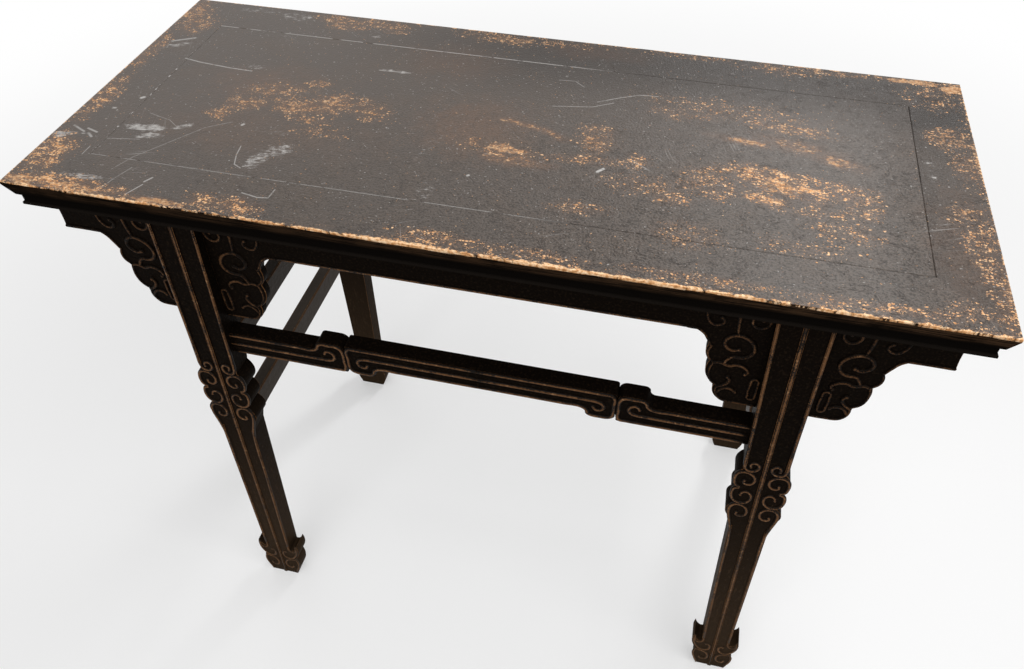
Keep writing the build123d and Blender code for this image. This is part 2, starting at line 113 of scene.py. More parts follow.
class Graph:
    """Short names for the nodes of one tree."""

    def __init__(self, tree: bpy.types.NodeTree) -> None:
        """Keeps the tree that the nodes go into."""
        self.tree = tree

    def node(self, kind: str, **settings: object) -> bpy.types.Node:
        """Adds a node.

        Args:
            kind: The node's type name, without its ShaderNode prefix.
            **settings: Properties set on the node.

        Returns:
            The new node.
        """
        made = self.tree.nodes.new("ShaderNode" + kind)
        for name, value in settings.items():
            setattr(made, name, value)
        return made

    def put(self, socket: Socket, value: object) -> None:
        """Links a socket, or sets its own value.

        Args:
            socket: The input socket.
            value: An output socket, a number, or the parts of a vector or colour.
        """
        if isinstance(value, bpy.types.NodeSocket):
            self.tree.links.new(value, socket)
        elif isinstance(value, tuple) and socket.type == "RGBA":
            socket.default_value = (*value, 1.0)
        else:
            socket.default_value = value

    def math(self, operation: str, *values: object) -> Socket:
        """Adds a Math node.

        Args:
            operation: What it works out.
            *values: Its inputs in order, numbers or sockets.

        Returns:
            The result.
        """
        made = self.node("Math", operation=operation)
        for socket, value in zip(made.inputs, values):
            self.put(socket, value)
        return made.outputs[0]

    def plus(self, first: object, second: object) -> Socket:
        """Returns the sum of two numbers or sockets."""
        return self.math("ADD", first, second)

    def less(self, first: object, second: object) -> Socket:
        """Returns the first number or socket less the second."""
        return self.math("SUBTRACT", first, second)

    def times(self, first: object, second: object) -> Socket:
        """Returns the product of two numbers or sockets."""
        return self.math("MULTIPLY", first, second)

    def scaled(self, value: object, factor: object, base: object) -> Socket:
        """Returns a value times a factor, plus a base."""
        return self.math("MULTIPLY_ADD", value, factor, base)

    def unsigned(self, value: object) -> Socket:
        """Returns a value without its sign."""
        return self.math("ABSOLUTE", value)

    def vector(self, operation: str, *values: object, out: int = 0, scale: object = None) -> Socket:
        """Adds a Vector Math node.

        Args:
            operation: What it works out.
            *values: Its vector inputs in order.
            out: 0 for a vector result, or 1 for a number.
            scale: The factor of a SCALE operation.

        Returns:
            The result.
        """
        made = self.node("VectorMath", operation=operation)
        for socket, value in zip(made.inputs, values):
            self.put(socket, value)
        if scale is not None:
            self.put(made.inputs["Scale"], scale)
        return made.outputs[out]

    def joined(self, x: object, y: object, z: object) -> Socket:
        """Joins three numbers to a vector.

        Args:
            x: Its first part, a number or a socket.
            y: Its second part.
            z: Its third part.

        Returns:
            The vector.
        """
        made = self.node("CombineXYZ")
        for socket, value in zip(made.inputs, (x, y, z)):
            self.put(socket, value)
        return made.outputs[0]

    def step(self, value: object, low: object, high: object) -> Socket:
        """Makes a smooth rise from 0 to 1.

        Args:
            value: What it follows.
            low: The value up to which it is 0.
            high: The value from which it is 1.

        Returns:
            The rise.
        """
        made = self.node("MapRange", interpolation_type="SMOOTHSTEP", clamp=True)
        for name, given in (("Value", value), ("From Min", low), ("From Max", high)):
            self.put(made.inputs[name], given)
        return made.outputs["Result"]

    def fade(self, value: object, low: object, high: object) -> Socket:
        """Returns a smooth fall from 1 at low to 0 at high."""
        return self.less(1.0, self.step(value, low, high))

    def noise(
        self, place: Socket, scale: object, detail: float = 3.0, rough: float = 0.5, out: int = 0
    ) -> Socket:
        """Adds a Noise Texture.

        Args:
            place: Where it is looked up.
            scale: How fine it is: the higher, the finer.
            detail: How many finer layers it has.
            rough: How strong the finer layers are.
            out: 0 for its value, about 0 to 1, or 1 for its colour.

        Returns:
            The value or the colour.
        """
        made = self.node("TexNoise")
        for name, given in (("Vector", place), ("Scale", scale), ("Detail", detail), ("Roughness", rough)):
            self.put(made.inputs[name], given)
        return made.outputs[out]

    def stretch(self, place: Socket, turn: float, scale: tuple[float, float, float]) -> Socket:
        """Turns and stretches a place, so that a pattern on it runs one way.

        Args:
            place: The place.
            turn: How far it is turned about Z, in degrees.
            scale: What it is then multiplied by along each axis.

        Returns:
            The new place.
        """
        turned = self.node("VectorRotate", rotation_type="Z_AXIS")
        self.put(turned.inputs["Vector"], place)
        self.put(turned.inputs["Angle"], math.radians(turn))
        return self.vector("MULTIPLY", turned.outputs[0], scale)

    def blend(self, share: object, first: object, second: object) -> Socket:
        """Mixes two colours.

        Args:
            share: How much of the second one, from 0 to 1.
            first: The colour at 0.
            second: The colour at 1.

        Returns:
            The mix.
        """
        made = self.node("Mix", data_type="RGBA")
        self.put(made.inputs[0], share)
        self.put(made.inputs[6], first)
        self.put(made.inputs[7], second)
        return made.outputs[2]

    def highest(self, *values: object) -> Socket:
        """Finds the greatest of several masks.

        Args:
            *values: The masks, numbers or sockets.

        Returns:
            The greatest at each place.
        """
        result = values[0]
        for value in values[1:]:
            result = self.math("MAXIMUM", result, value)
        return result

    def place(self) -> Socket:
        """Returns the place in the row frame."""
        return self.node("TexCoord").outputs["Object"]

    def rubbed(self) -> Socket:
        """Returns how far the mesh says that the surface is rubbed."""
        return self.node("Attribute", attribute_name=RUBBED).outputs["Fac"]

    def bump(self, height: Socket, depth: float) -> Socket:
        """Adds a Bump node.

        Args:
            height: The height of the surface.
            depth: What a height of 1 is in metres.

        Returns:
            The normal of the surface.
        """
        made = self.node("Bump")
        made.inputs["Strength"].default_value = 1.0
        made.inputs["Distance"].default_value = depth
        self.put(made.inputs["Height"], height)
        return made.outputs[0]

    def parts(self, place: Socket) -> tuple[Socket, Socket, Socket]:
        """Splits a place.

        Args:
            place: The place.

        Returns:
            Its x, y and z.
        """
        made = self.node("SeparateXYZ")
        self.put(made.inputs[0], place)
        return made.outputs[0], made.outputs[1], made.outputs[2]

    def effect(self, group: bpy.types.NodeTree, **values: object) -> Socket:
        """Places a node group and returns its first output.

        Args:
            group: The effect.
            **values: Its inputs by name, with spaces written as underscores.

        Returns:
            The group's output socket.
        """
        made = self.node("Group")
        made.node_tree = group
        for name, value in values.items():
            self.put(made.inputs[name.replace("_", " ")], value)
        return made.outputs[0]


class Effects:
    """The shader node groups that the finishes share."""

    def __init__(self) -> None:
        """Builds each group once."""
        self.skin = self._skin()
        self.wrinkle = self._wrinkle()
        self.patch = self._patch()
        self.flakes = self._flakes()
        self.smear = self._smear()
        self.scuff = self._scuff()
        self.scratch = self._scratch()
        self.crest = self._crest()
        self.streak = self._streak()
        self.arris = self._arris()
        self.wood = self._wood()

    def _begin(
        self, name: str, inputs: dict[str, str], gives: str = "Float"
    ) -> tuple[Graph, bpy.types.Node, Socket]:
        """Starts a group.

        Args:
            name: The group's name.
            inputs: Socket kind by input name.
            gives: Socket kind of its output.

        Returns:
            The graph, the group's input node and the input socket of its one output.
        """
        tree = bpy.data.node_groups.new(name, "ShaderNodeTree")
        for label, kind in inputs.items():
            tree.interface.new_socket(label, in_out="INPUT", socket_type="NodeSocket" + kind)
        tree.interface.new_socket("Value", in_out="OUTPUT", socket_type="NodeSocket" + gives)
        graph = Graph(tree)
        source = tree.nodes.new("NodeGroupInput")
        sink = tree.nodes.new("NodeGroupOutput")
        return graph, source, sink.inputs[0]

    def _skin(self) -> bpy.types.NodeTree:
        """Height of brushed lacquer: fine pebbles over broader waves.

        Returns:
            The group.
        """
        sockets = {"Place": "Vector", "Peel": "Float", "Wave": "Float"}
        graph, given, out = self._begin("lacquer_skin", sockets)
        place = given.outputs["Place"]
        peel = graph.noise(place, 380.0, 2.0, 0.5)
        wave = graph.noise(place, 110.0, 2.0, 0.5)
        total = graph.times(peel, given.outputs["Peel"])
        graph.put(out, graph.scaled(wave, given.outputs["Wave"], total))
        return graph.tree

    def _wrinkle(self) -> bpy.types.NodeTree:
        """Height of short shrinkage wrinkles that run mostly along X, from 0 in a fold to 1.

        Returns:
            The group.
        """
        graph, given, out = self._begin("lacquer_wrinkle", {"Place": "Vector", "Amount": "Float"})
        place = given.outputs["Place"]
        drift = graph.noise(place, 26.0, 2.0, 0.5)
        sway = graph.vector("SCALE", graph.joined(drift, drift, 0.0), scale=0.030)
        bent = graph.vector("ADD", place, sway)
        folds = graph.noise(graph.stretch(bent, 20.0, (80.0, 250.0, 250.0)), 1.0, 2.0, 0.5)
        folds = graph.unsigned(graph.less(folds, 0.47))
        depth = graph.times(graph.fade(folds, 0.0, 0.034), given.outputs["Amount"])
        depth = graph.times(depth, graph.step(graph.noise(place, 70.0, 3.0, 0.6), 0.42, 0.60))
        graph.put(out, graph.less(1.0, depth))
        return graph.tree

    def _patch(self) -> bpy.types.NodeTree:
        """Mask of one oval, its border ragged and as soft as asked, over the mask beneath.

        Returns:
            The group.
        """
        sockets = dict.fromkeys(("Place", "Centre", "Reach"), "Vector")
        sockets |= dict.fromkeys(("Turn", "Ragged", "Soft", "Strength", "Beneath"), "Float")
        graph, given, out = self._begin("worn_patch", sockets)
        soft = given.outputs["Soft"]
        offset = graph.vector("SUBTRACT", given.outputs["Place"], given.outputs["Centre"])
        turned = graph.node("VectorRotate", rotation_type="Z_AXIS")
        graph.put(turned.inputs["Vector"], offset)
        graph.put(turned.inputs["Angle"], given.outputs["Turn"])
        scaled = graph.vector("DIVIDE", turned.outputs[0], given.outputs["Reach"])
        distance = graph.vector("LENGTH", scaled, out=1)
        distance = graph.scaled(given.outputs["Ragged"], soft, distance)
        inner = graph.less(1.0, graph.times(soft, 0.9))
        mask = graph.fade(distance, inner, graph.scaled(soft, 0.4, 1.0))
        mask = graph.times(mask, given.outputs["Strength"])
        graph.put(out, graph.math("MAXIMUM", mask, given.outputs["Beneath"]))
        return graph.tree

    def _flakes(self) -> bpy.types.NodeTree:
        """Mask of small separate flakes, closer together where the amount is higher.

        Returns:
            The group.
        """
        sockets = {"Place": "Vector", "Amount": "Float", "Grain": "Float"}
        graph, given, out = self._begin("flaked_wear", sockets)
        place = given.outputs["Place"]
        ripple = graph.vector("SUBTRACT", graph.noise(place, 520.0, 2.0, out=1), (0.5, 0.5, 0.5))
        ripple = graph.vector("SCALE", ripple, scale=0.0034)
        bent = graph.vector("ADD", graph.vector("MULTIPLY", place, (0.82, 1.15, 1.0)), ripple)
        cells = graph.node("TexVoronoi", voronoi_dimensions="2D", feature="F1")
        graph.put(cells.inputs["Vector"], bent)
        graph.put(cells.inputs["Scale"], given.outputs["Grain"])
        chance, size, _ = graph.parts(cells.outputs["Color"])
        clump = graph.noise(graph.stretch(place, 0.0, (62.0, 100.0, 62.0)), 1.0, 4.0, 0.65)
        clump = graph.scaled(clump, 5.4, -2.20)
        density = graph.times(given.outputs["Amount"], clump)
        present = graph.math("LESS_THAN", chance, density)
        reach = graph.scaled(size, 0.26, 0.20)
        reach = graph.scaled(graph.math("MINIMUM", density, 1.1), 0.20, reach)
        round_mask = graph.step(graph.less(reach, cells.outputs["Distance"]), 0.0, 0.10)
        graph.put(out, graph.times(round_mask, present))
        return graph.tree

    def _smear(self) -> bpy.types.NodeTree:
        """Mask of lacquer rubbed thin in short strokes along X.

        Returns:
            The group.
        """
        graph, given, out = self._begin("rubbed_smear", {"Place": "Vector", "Amount": "Float"})
        place = given.outputs["Place"]
        strokes = graph.noise(graph.stretch(place, 5.0, (120.0, 460.0, 120.0)), 1.0, 5.0, 0.75)
        cloud = graph.noise(place, 120.0, 4.0, 0.65)
        mixed = graph.scaled(strokes, 0.55, graph.times(cloud, 0.45))
        limit = graph.scaled(given.outputs["Amount"], -0.30, 0.74)
        graph.put(out, graph.step(graph.less(mixed, limit), 0.0, 0.11))
        return graph.tree

    def _scuff(self) -> bpy.types.NodeTree:
        """Mask of rubbed, dusty drag marks along one direction.

        Returns:
            The group.
        """
        graph, given, out = self._begin("dusty_scuff", {"Place": "Vector", "Amount": "Float"})
        place = given.outputs["Place"]
        drag = graph.noise(graph.stretch(place, -12.0, (70.0, 420.0, 70.0)), 1.0, 5.0, 0.75)
        cloud = graph.noise(place, 130.0, 5.0, 0.70)
        mixed = graph.scaled(drag, 0.62, graph.times(cloud, 0.38))
        limit = graph.scaled(given.outputs["Amount"], -0.205, 0.675)
        graph.put(out, graph.step(graph.less(mixed, limit), 0.0, 0.15))
        return graph.tree

    def _scratch(self) -> bpy.types.NodeTree:
        """Mask of one straight stroke between two points, over the mask beneath.

        Returns:
            The group.
        """
        sockets = dict.fromkeys(("Place", "From", "To"), "Vector")
        sockets |= dict.fromkeys(("Width", "Strength", "Beneath"), "Float")
        graph, given, out = self._begin("scratch_stroke", sockets)
        start = given.outputs["From"]
        reach = graph.vector("SUBTRACT", given.outputs["To"], start)
        offset = graph.vector("SUBTRACT", given.outputs["Place"], start)
        length = graph.vector("DOT_PRODUCT", reach, reach, out=1)
        share = graph.math("DIVIDE", graph.vector("DOT_PRODUCT", offset, reach, out=1), length)
        share = graph.math("MAXIMUM", graph.math("MINIMUM", share, 1.0), 0.0)
        nearest = graph.vector("SCALE", reach, scale=share)
        distance = graph.vector("DISTANCE", offset, nearest, out=1)
        half = graph.times(given.outputs["Width"], 0.5)
        mask = graph.fade(distance, graph.times(half, 0.3), graph.times(half, 1.4))
        mask = graph.times(mask, given.outputs["Strength"])
        graph.put(out, graph.math("MAXIMUM", mask, given.outputs["Beneath"]))
        return graph.tree

    def _crest(self) -> bpy.types.NodeTree:
        """Mask of lacquer rubbed through on edges and on the tops of ridges.

        Returns:
            The group.
        """
        sockets = {"Place": "Vector", "Rubbed": "Float", "Amount": "Float"}
        graph, given, out = self._begin("rubbed_crest", sockets)
        place = given.outputs["Place"]
        fine = graph.noise(place, 480.0, 3.0, 0.6)
        broad = graph.noise(place, 40.0, 3.0, 0.6)
        mixed = graph.scaled(broad, 0.5, graph.times(fine, 0.5))
        worn = graph.scaled(mixed, 4.2, -2.1)
        worn = graph.plus(worn, given.outputs["Rubbed"])
        limit = graph.less(1.35, given.outputs["Amount"])
        raised = graph.step(given.outputs["Rubbed"], 0.30, 0.80)
        through = graph.step(graph.less(worn, limit), 0.0, 0.55)
        graph.put(out, graph.times(through, raised))
        return graph.tree

    def _streak(self) -> bpy.types.NodeTree:
        """Mask of long thin streaks, as grain shows through thin lacquer.

        Returns:
            The group.
        """
        sockets = {"Place": "Vector", "Long": "Vector", "Amount": "Float"}
        graph, given, out = self._begin("grain_streak", sockets)
        place = graph.vector("MULTIPLY", given.outputs["Place"], given.outputs["Long"])
        value = graph.noise(place, 1.0, 4.0, 0.6)
        limit = graph.scaled(given.outputs["Amount"], -0.35, 0.72)
        graph.put(out, graph.step(graph.less(value, limit), 0.0, 0.22))
        return graph.tree

    def _arris(self) -> bpy.types.NodeTree:
        """Mask of bare wood along the upper arris of the top, widest in front on the right.

        Returns:
            The group.
        """
        graph, given, out = self._begin("bare_arris", {"Place": "Vector", "Half Size": "Vector"})
        place = given.outputs["Place"]
        x, y, z = graph.parts(place)
        half_length, half_depth, height = graph.parts(given.outputs["Half Size"])
        drop = graph.less(height, z)
        flat = graph.vector("MULTIPLY", place, (1.0, 1.0, 0.0))
        frayed = graph.noise(graph.vector("MULTIPLY", flat, (95.0, 230.0, 1.0)), 1.0, 5.0, 0.75)
        frayed = graph.scaled(frayed, 0.0190, -0.0095)
        slow = graph.scaled(graph.noise(flat, 8.0, 2.0, 0.5), 0.0100, -0.0050)
        loose = graph.plus(frayed, slow)
        ragged = graph.noise(graph.stretch(place, 0.0, (34.0, 34.0, 900.0)), 1.0, 4.0, 0.7)
        ragged = graph.scaled(ragged, 0.0056, -0.0028)
        below = graph.scaled(slow, 0.3, graph.plus(drop, ragged))
        open_part = graph.step(x, -0.36, 0.02)
        wide = graph.scaled(open_part, 0.0012, 0.0006)
        deep = graph.scaled(open_part, 0.0018, 0.0016)
        result: object = 0.0
        ends = graph.less(half_length, graph.unsigned(x))
        front = graph.plus(y, half_depth)
        rear = graph.less(half_depth, y)
        for inward, across, down in ((front, wide, deep), (rear, 0.0006, 0.0004), (ends, 0.0006, 0.0008)):
            spare = graph.less(graph.plus(inward, loose), across)
            lower = graph.fade(graph.less(below, down), -0.0004, 0.0006)
            mask = graph.times(graph.fade(spare, -0.0009, 0.0009), lower)
            result = graph.math("MAXIMUM", result, mask)
        graph.put(out, result)
        return graph.tree

    def _wood(self) -> bpy.types.NodeTree:
        """Colour of bare, rubbed wood with its grain along X; its Shine input paints a highlight by turning
        more of it to the bright tone.

        Returns:
            The group.
        """
        sockets = {"Place": "Vector", "Deep": "Color", "Wood": "Color", "Bright": "Color", "Shine": "Float"}
        graph, given, out = self._begin("bare_wood", sockets, "Color")
        place = given.outputs["Place"]
        grain = graph.noise(graph.stretch(place, 0.0, (26.0, 700.0, 700.0)), 1.0, 4.0, 0.65)
        speck = graph.noise(place, 260.0, 3.0, 0.6)
        tone = graph.scaled(speck, 0.55, graph.times(grain, 0.45))
        tone = graph.plus(tone, given.outputs["Shine"])
        wood = graph.blend(graph.step(tone, 0.46, 0.62), given.outputs["Wood"], given.outputs["Bright"])
        graph.put(out, graph.blend(graph.fade(tone, 0.37, 0.50), wood, given.outputs["Deep"]))
        return graph.tree


# ---------------------------------------------------------------- finishes


@dataclass(frozen=True)
class Patch:
    """One oval on the top: middle and reach in millimetres, turn in degrees."""

    x: float
    y: float
    reach_x: float
    reach_y: float
    turn: float = 0.0
    strength: float = 1.0


@dataclass(frozen=True)
class Scratch:
    """One thin scratch on the top, through points in millimetres."""

    points: tuple[Point, ...]
    width: float = 1.3
    strength: float = 0.6


@dataclass(frozen=True)
class TopLacquer:
    """Lacquer of the top: satin black-brown, worn through to orange wood in patches."""

    name: str = "top_lacquer_worn"
    lacquer: Colour = (0.093, 0.0765, 0.0655)
    thin: Colour = (0.128, 0.089, 0.063)
    stain: Colour = (0.25, 0.120, 0.060)
    wood: Colour = (0.68, 0.340, 0.145)
    bright: Colour = (0.98, 0.67, 0.40)
    deep: Colour = (0.34, 0.150, 0.060)
    # pale grey of the dust, scuff and scratch marks, and of the painted sheen
    dust_and_sheen: Colour = (0.50, 0.48, 0.46)
    # near black, the colour that the painted shade and the darker right end rail go towards
    black: Colour = (0.010, 0.008, 0.007)
    rail: float = 0.070
    gloss: float = 0.20
    rough: float = 0.34
    bump_depth: float = 0.0015
    coarse_grain: float = 310.0
    fine_grain: float = 760.0
    dot_grain: float = 560.0
    dot_share: float = 0.040
    # darkening of the right end rail, painted shade at the rear and its cap, and strength of the painted
    # sheen
    rail_darkening: float = 0.30
    rear_shade: float = 0.64
    deepest_shade: float = 0.72
    sheen_strength: float = 0.075
    flaked: tuple[Patch, ...] = (
        Patch(-10, -42, 56, 15, -4, 0.50), Patch(95, -44, 66, 11, 4, 0.46),
        Patch(155, -34, 17, 16, 0, 0.60), Patch(168, -76, 48, 24, 0, 0.34),
        Patch(312, -30, 62, 22, -8, 1.00), Patch(330, -44, 52, 20, -8, 0.94),
        Patch(300, -70, 27, 14, 0, 0.86), Patch(384, -40, 38, 20, 0, 0.80),
        Patch(240, -58, 44, 30, 0, 0.52), Patch(256, -28, 32, 15, 20, 0.62),
        Patch(404, -62, 26, 30, 0, 0.46), Patch(360, -84, 60, 12, 0, 0.36),
        Patch(200, -92, 26, 16, 0, 0.60), Patch(102, -132, 32, 12, 0, 0.40),
        Patch(386, -110, 46, 22, 0, 0.38), Patch(345, -145, 60, 16, 0, 0.28),
        Patch(240, -215, 90, 9, 0, 0.52), Patch(60, -216, 80, 10, 0, 0.44),
        Patch(-40, -214, 50, 14, 0, 0.58), Patch(420, -216, 110, 9, 0, 0.56),
        Patch(500, -204, 30, 16, 0, 0.46), Patch(520, -90, 20, 34, 0, 0.66),
        Patch(526, -140, 17, 40, 0, 0.60), Patch(530, -195, 16, 32, 0, 0.68),
        Patch(-296, -212, 28, 16, 0, 0.74), Patch(-258, -213, 30, 17, 0, 0.84),
        Patch(-470, -218, 80, 18, 0, 1.05), Patch(-520, -165, 30, 42, 0, 0.92),
        Patch(-524, -45, 18, 62, 0, 0.72),
    )
    peppered: tuple[Patch, ...] = (
        Patch(-340, -19, 38, 17, 8, 1.00), Patch(-360, -49, 20, 14, 0, 0.80),
        Patch(-316, 16, 44, 18, 10, 0.70), Patch(-273, -12, 46, 24, 0, 0.86),
        Patch(-273, 43, 20, 8, 0, 0.80), Patch(-234, 5, 34, 25, 0, 0.95),
        Patch(-252, -37, 30, 11, 0, 0.74), Patch(-190, 0, 34, 26, -20, 0.56),
        Patch(-228, -60, 40, 14, 0, 0.42), Patch(100, -7, 25, 22, 0, 0.74),
        Patch(98, 20, 26, 14, 0, 0.56), Patch(196, 80, 46, 18, 0, 0.46),
        Patch(264, 98, 110, 24, -4, 0.42), Patch(325, 74, 56, 16, -6, 0.70),
        Patch(222, -152, 36, 24, 0, 0.42), Patch(-524, 195, 24, 40, 0, 0.86),
        Patch(-508, 158, 34, 32, 0, 0.70), Patch(-530, 80, 14, 60, 0, 0.64),
        Patch(-316, 214, 32, 14, 0, 0.80), Patch(-290, 200, 38, 14, 0, 0.68),
        Patch(-246, 214, 50, 14, 0, 0.78), Patch(-222, 200, 26, 9, 0, 0.56),
        Patch(-62, 212, 66, 15, 0, 0.78), Patch(10, 216, 50, 9, 0, 0.66),
        Patch(190, 222, 70, 8, 0, 0.52), Patch(312, 214, 52, 15, 0, 0.74),
        Patch(385, 221, 70, 9, 0, 0.76), Patch(508, 190, 42, 34, 0, 0.62),
        Patch(512, 94, 32, 26, 0, 0.96), Patch(524, 44, 18, 40, 0, 0.78),
        Patch(512, -50, 26, 18, 0, 0.78), Patch(526, -140, 17, 90, 0, 0.40),
    )
    smeared: tuple[Patch, ...] = (
        Patch(0, 12, 46, 10, -12, 0.90), Patch(46, 0, 26, 9, -30, 0.86),
        Patch(-34, -36, 30, 14, 0, 0.80), Patch(-4, -43, 46, 12, -4, 1.00),
        Patch(14, -62, 60, 15, -6, 0.84), Patch(276, 36, 44, 11, -8, 1.00),
        Patch(330, 40, 64, 18, -10, 0.84), Patch(376, 18, 38, 15, -18, 0.92),
        Patch(-268, -10, 44, 18, -8, 0.80), Patch(-318, 26, 34, 14, 0, 0.66),
        Patch(320, -46, 70, 24, -8, 0.86), Patch(306, -72, 36, 13, 0, 0.90),
        Patch(-517, -221, 34, 13, 0, 1.10), Patch(-450, -222, 66, 11, 0, 0.98),
        Patch(-347, -224, 46, 7, 0, 1.16), Patch(-62, 214, 60, 14, 0, 0.84),
        Patch(480, 222, 60, 9, 0, 1.10), Patch(528, 212, 20, 18, 0, 1.28),
        Patch(535, -170, 8, 62, 0, 0.80), Patch(538, 60, 6, 60, 0, 0.80),
    )
    sound: tuple[Patch, ...] = (
        Patch(20, -12, 52, 14, -22, 1.0), Patch(318, 4, 80, 17, -11, 1.0),
        Patch(-29, -37, 8, 9, 0, 1.0), Patch(14, -33, 10, 7, 0, 1.0),
        Patch(-316, -52, 40, 12, 0, 1.0),
    )
    warm: tuple[Patch, ...] = (
        Patch(-46, -10, 80, 66, 0, 0.60), Patch(60, 206, 80, 26, 0, 0.80),
        Patch(-110, 140, 70, 50, 0, 0.45), Patch(-330, 20, 90, 50, 0, 0.45),
        Patch(515, -110, 46, 110, 0, 0.55), Patch(-300, -70, 160, 60, 0, 0.25),
    )
    scuffs: tuple[Patch, ...] = (
        Patch(-438, -97, 34, 10, 8, 1.34), Patch(-424, -112, 24, 8, 12, 1.18),
        Patch(-394, -85, 18, 8, 34, 1.22), Patch(-530, -133, 12, 9, 10, 1.34),
        Patch(-512, -126, 24, 7, 8, 1.05), Patch(-276, -128, 16, 25, -16, 1.14),
        Patch(-258, -105, 22, 18, 0, 1.08), Patch(-280, -70, 24, 20, 30, 0.72),
        Patch(-452, -201, 50, 7, 3, 1.15), Patch(-436, 214, 52, 10, 0, 0.85),
        Patch(-376, 208, 42, 14, 0, 0.95), Patch(-372, 64, 22, 12, 0, 0.90),
        Patch(-186, 96, 26, 5, 0, 1.05), Patch(-244, 179, 12, 6, 0, 1.15),
        Patch(-90, -60, 14, 46, -10, 0.72), Patch(-69, -139, 18, 40, -6, 0.78),
        Patch(484, 28, 10, 34, 0, 0.86), Patch(-500, 96, 30, 9, 28, 1.02),
    )
    scratches: tuple[Scratch, ...] = (
        Scratch(((-429, -182), (-418, -155), (-399, -128), (-366, -81), (-340, -63)), 1.1, 0.42),
        Scratch(((-388, -220), (-379, -200)), 1.5, 0.80),
        Scratch(((-380, -195), (-375, -186)), 2.4, 0.75),
        Scratch(((-423, -224), (-416, -196), (-408, -174)), 1.2, 0.45),
        Scratch(((-306, -107), (-303, -125), (-297, -142), (-287, -147)), 1.5, 0.62),
        Scratch(((-479, -163), (-479, -147)), 1.4, 0.55),
        Scratch(((-469, -128), (-430, -121)), 1.1, 0.55),
        Scratch(((-448, -67), (-416, -76), (-398, -89)), 1.0, 0.42),
        Scratch(((-264, -189), (-244, -193), (-232, -191), (-231, -176)), 1.8, 0.60),
        Scratch(((-473, 65), (-449, 60), (-402, 55), (-371, 54)), 2.2, 0.66),
        Scratch(((-515, 104), (-488, 119)), 4.0, 0.62),
        Scratch(((-207, 94), (-165, 96)), 2.4, 0.50),
        Scratch(((34, 60), (83, 69), (108, 84)), 1.6, 0.44),
        Scratch(((88, 82), (114, 98), (138, 110), (161, 112)), 1.6, 0.50),
        Scratch(((30, 123), (51, 125), (65, 113)), 1.4, 0.36),
        Scratch(((-523, -112), (-504, -121)), 3.0, 0.60),
        Scratch(((-503, -114), (-488, -119)), 3.0, 0.66),
        Scratch(((-497, -123), (-489, -129)), 3.4, 0.66),
        Scratch(((-477, -38), (-475, -36)), 5.0, 1.0),
        Scratch(((-499, -67), (-496, -66)), 3.2, 0.85),
        Scratch(((-325, -66), (-324, -64)), 4.0, 0.80),
        Scratch(((112, -63), (118, -56)), 4.0, 0.95),
        Scratch(((-30, -103), (-29, -102)), 3.6, 0.80),
    )

    def build(self, effects: Effects) -> bpy.types.Material:
        """Makes the material.

        Args:
            effects: The shared node groups.

        Returns:
            The finished material.
        """
        material, graph, shader = new_material(self.name)
        place = graph.place()
        flat = graph.vector("MULTIPLY", place, (1.0, 1.0, 0.0))
        ragged = graph.scaled(graph.noise(flat, 34.0, 4.0, 0.65), 2.0, -1.0)
        spots = Spots(graph, effects, flat, ragged)
        gone = graph.less(1.0, spots.highest(self.sound, 0.30))
        dull = spots.highest(self.peppered, 0.80)
        flaking = graph.highest(spots.highest(self.flaked, 0.80), self._rim(graph, flat))
        flaking = graph.times(graph.highest(flaking, graph.times(dull, 0.86)), gone)
        rubbing = graph.times(spots.highest(self.smeared, 0.80), gone)
        coarse = graph.math("POWER", flaking, 1.2)
        coarse = graph.effect(effects.flakes, Place=flat, Amount=coarse, Grain=self.coarse_grain)
        fine = graph.scaled(flaking, 0.85, 0.012)
        fine = graph.effect(effects.flakes, Place=flat, Amount=fine, Grain=self.fine_grain)
        smear = graph.times(graph.effect(effects.smear, Place=flat, Amount=rubbing), 0.60)
        arris = graph.effect(effects.arris, Place=place, Half_Size=HALF_SIZE)
        flakes = graph.highest(coarse, graph.times(fine, 0.75))
        vivid = graph.scaled(graph.math("MINIMUM", dull, 1.0), -0.48, 1.0)
        worn = graph.highest(graph.times(flakes, vivid), smear, arris)
        pale = self._marks(graph, effects, flat, spots)
        x, y, _ = graph.parts(place)
        towards = graph.scaled(y, -1.1, graph.times(x, 0.7))
        rough_part = graph.step(towards, -0.35, 0.45)
        folds = graph.step(graph.noise(flat, 13.0, 3.0, 0.6), 0.34, 0.60)
        folds = graph.times(folds, graph.scaled(rough_part, 0.9, 0.1))
        wrinkle = graph.effect(effects.wrinkle, Place=flat, Amount=folds)
        mottle = graph.noise(flat, 14.0, 4.0, 0.6)
        brown = graph.times(graph.highest(flaking, rubbing), 0.9)
        brown = graph.highest(brown, spots.highest(self.warm, 1.0))
        brown = graph.times(brown, graph.noise(flat, 150.0, 4.0, 0.65))
        cloudy = graph.times(graph.step(mottle, 0.40, 0.75), 0.22)
        base = graph.blend(cloudy, self.lacquer, self.thin)
        base = graph.blend(graph.times(brown, 0.62), base, self.stain)
        skin = graph.effect(effects.skin, Place=flat, Peel=1.10, Wave=0.35)
        # Painted shade: the lacquer is darkened towards black in the pits of its skin, in the wrinkle
        # folds, and by _shade.
        pit_shade_share = graph.scaled(rough_part, 0.50, 0.06)
        pit_shade = graph.times(graph.fade(skin, 0.60, 0.76), pit_shade_share)
        dark = graph.times(graph.less(1.0, wrinkle), 0.55)
        base = graph.blend(graph.highest(pit_shade, dark, self._shade(graph, x, y)), base, self.black)
        # The painted sheen on the right of the panel and the pale marks of dust, scuffs and scratches both
        # go towards a pale grey.
        base = graph.blend(graph.highest(pale, self._painted_sheen(graph, x, y)), base, self.dust_and_sheen)
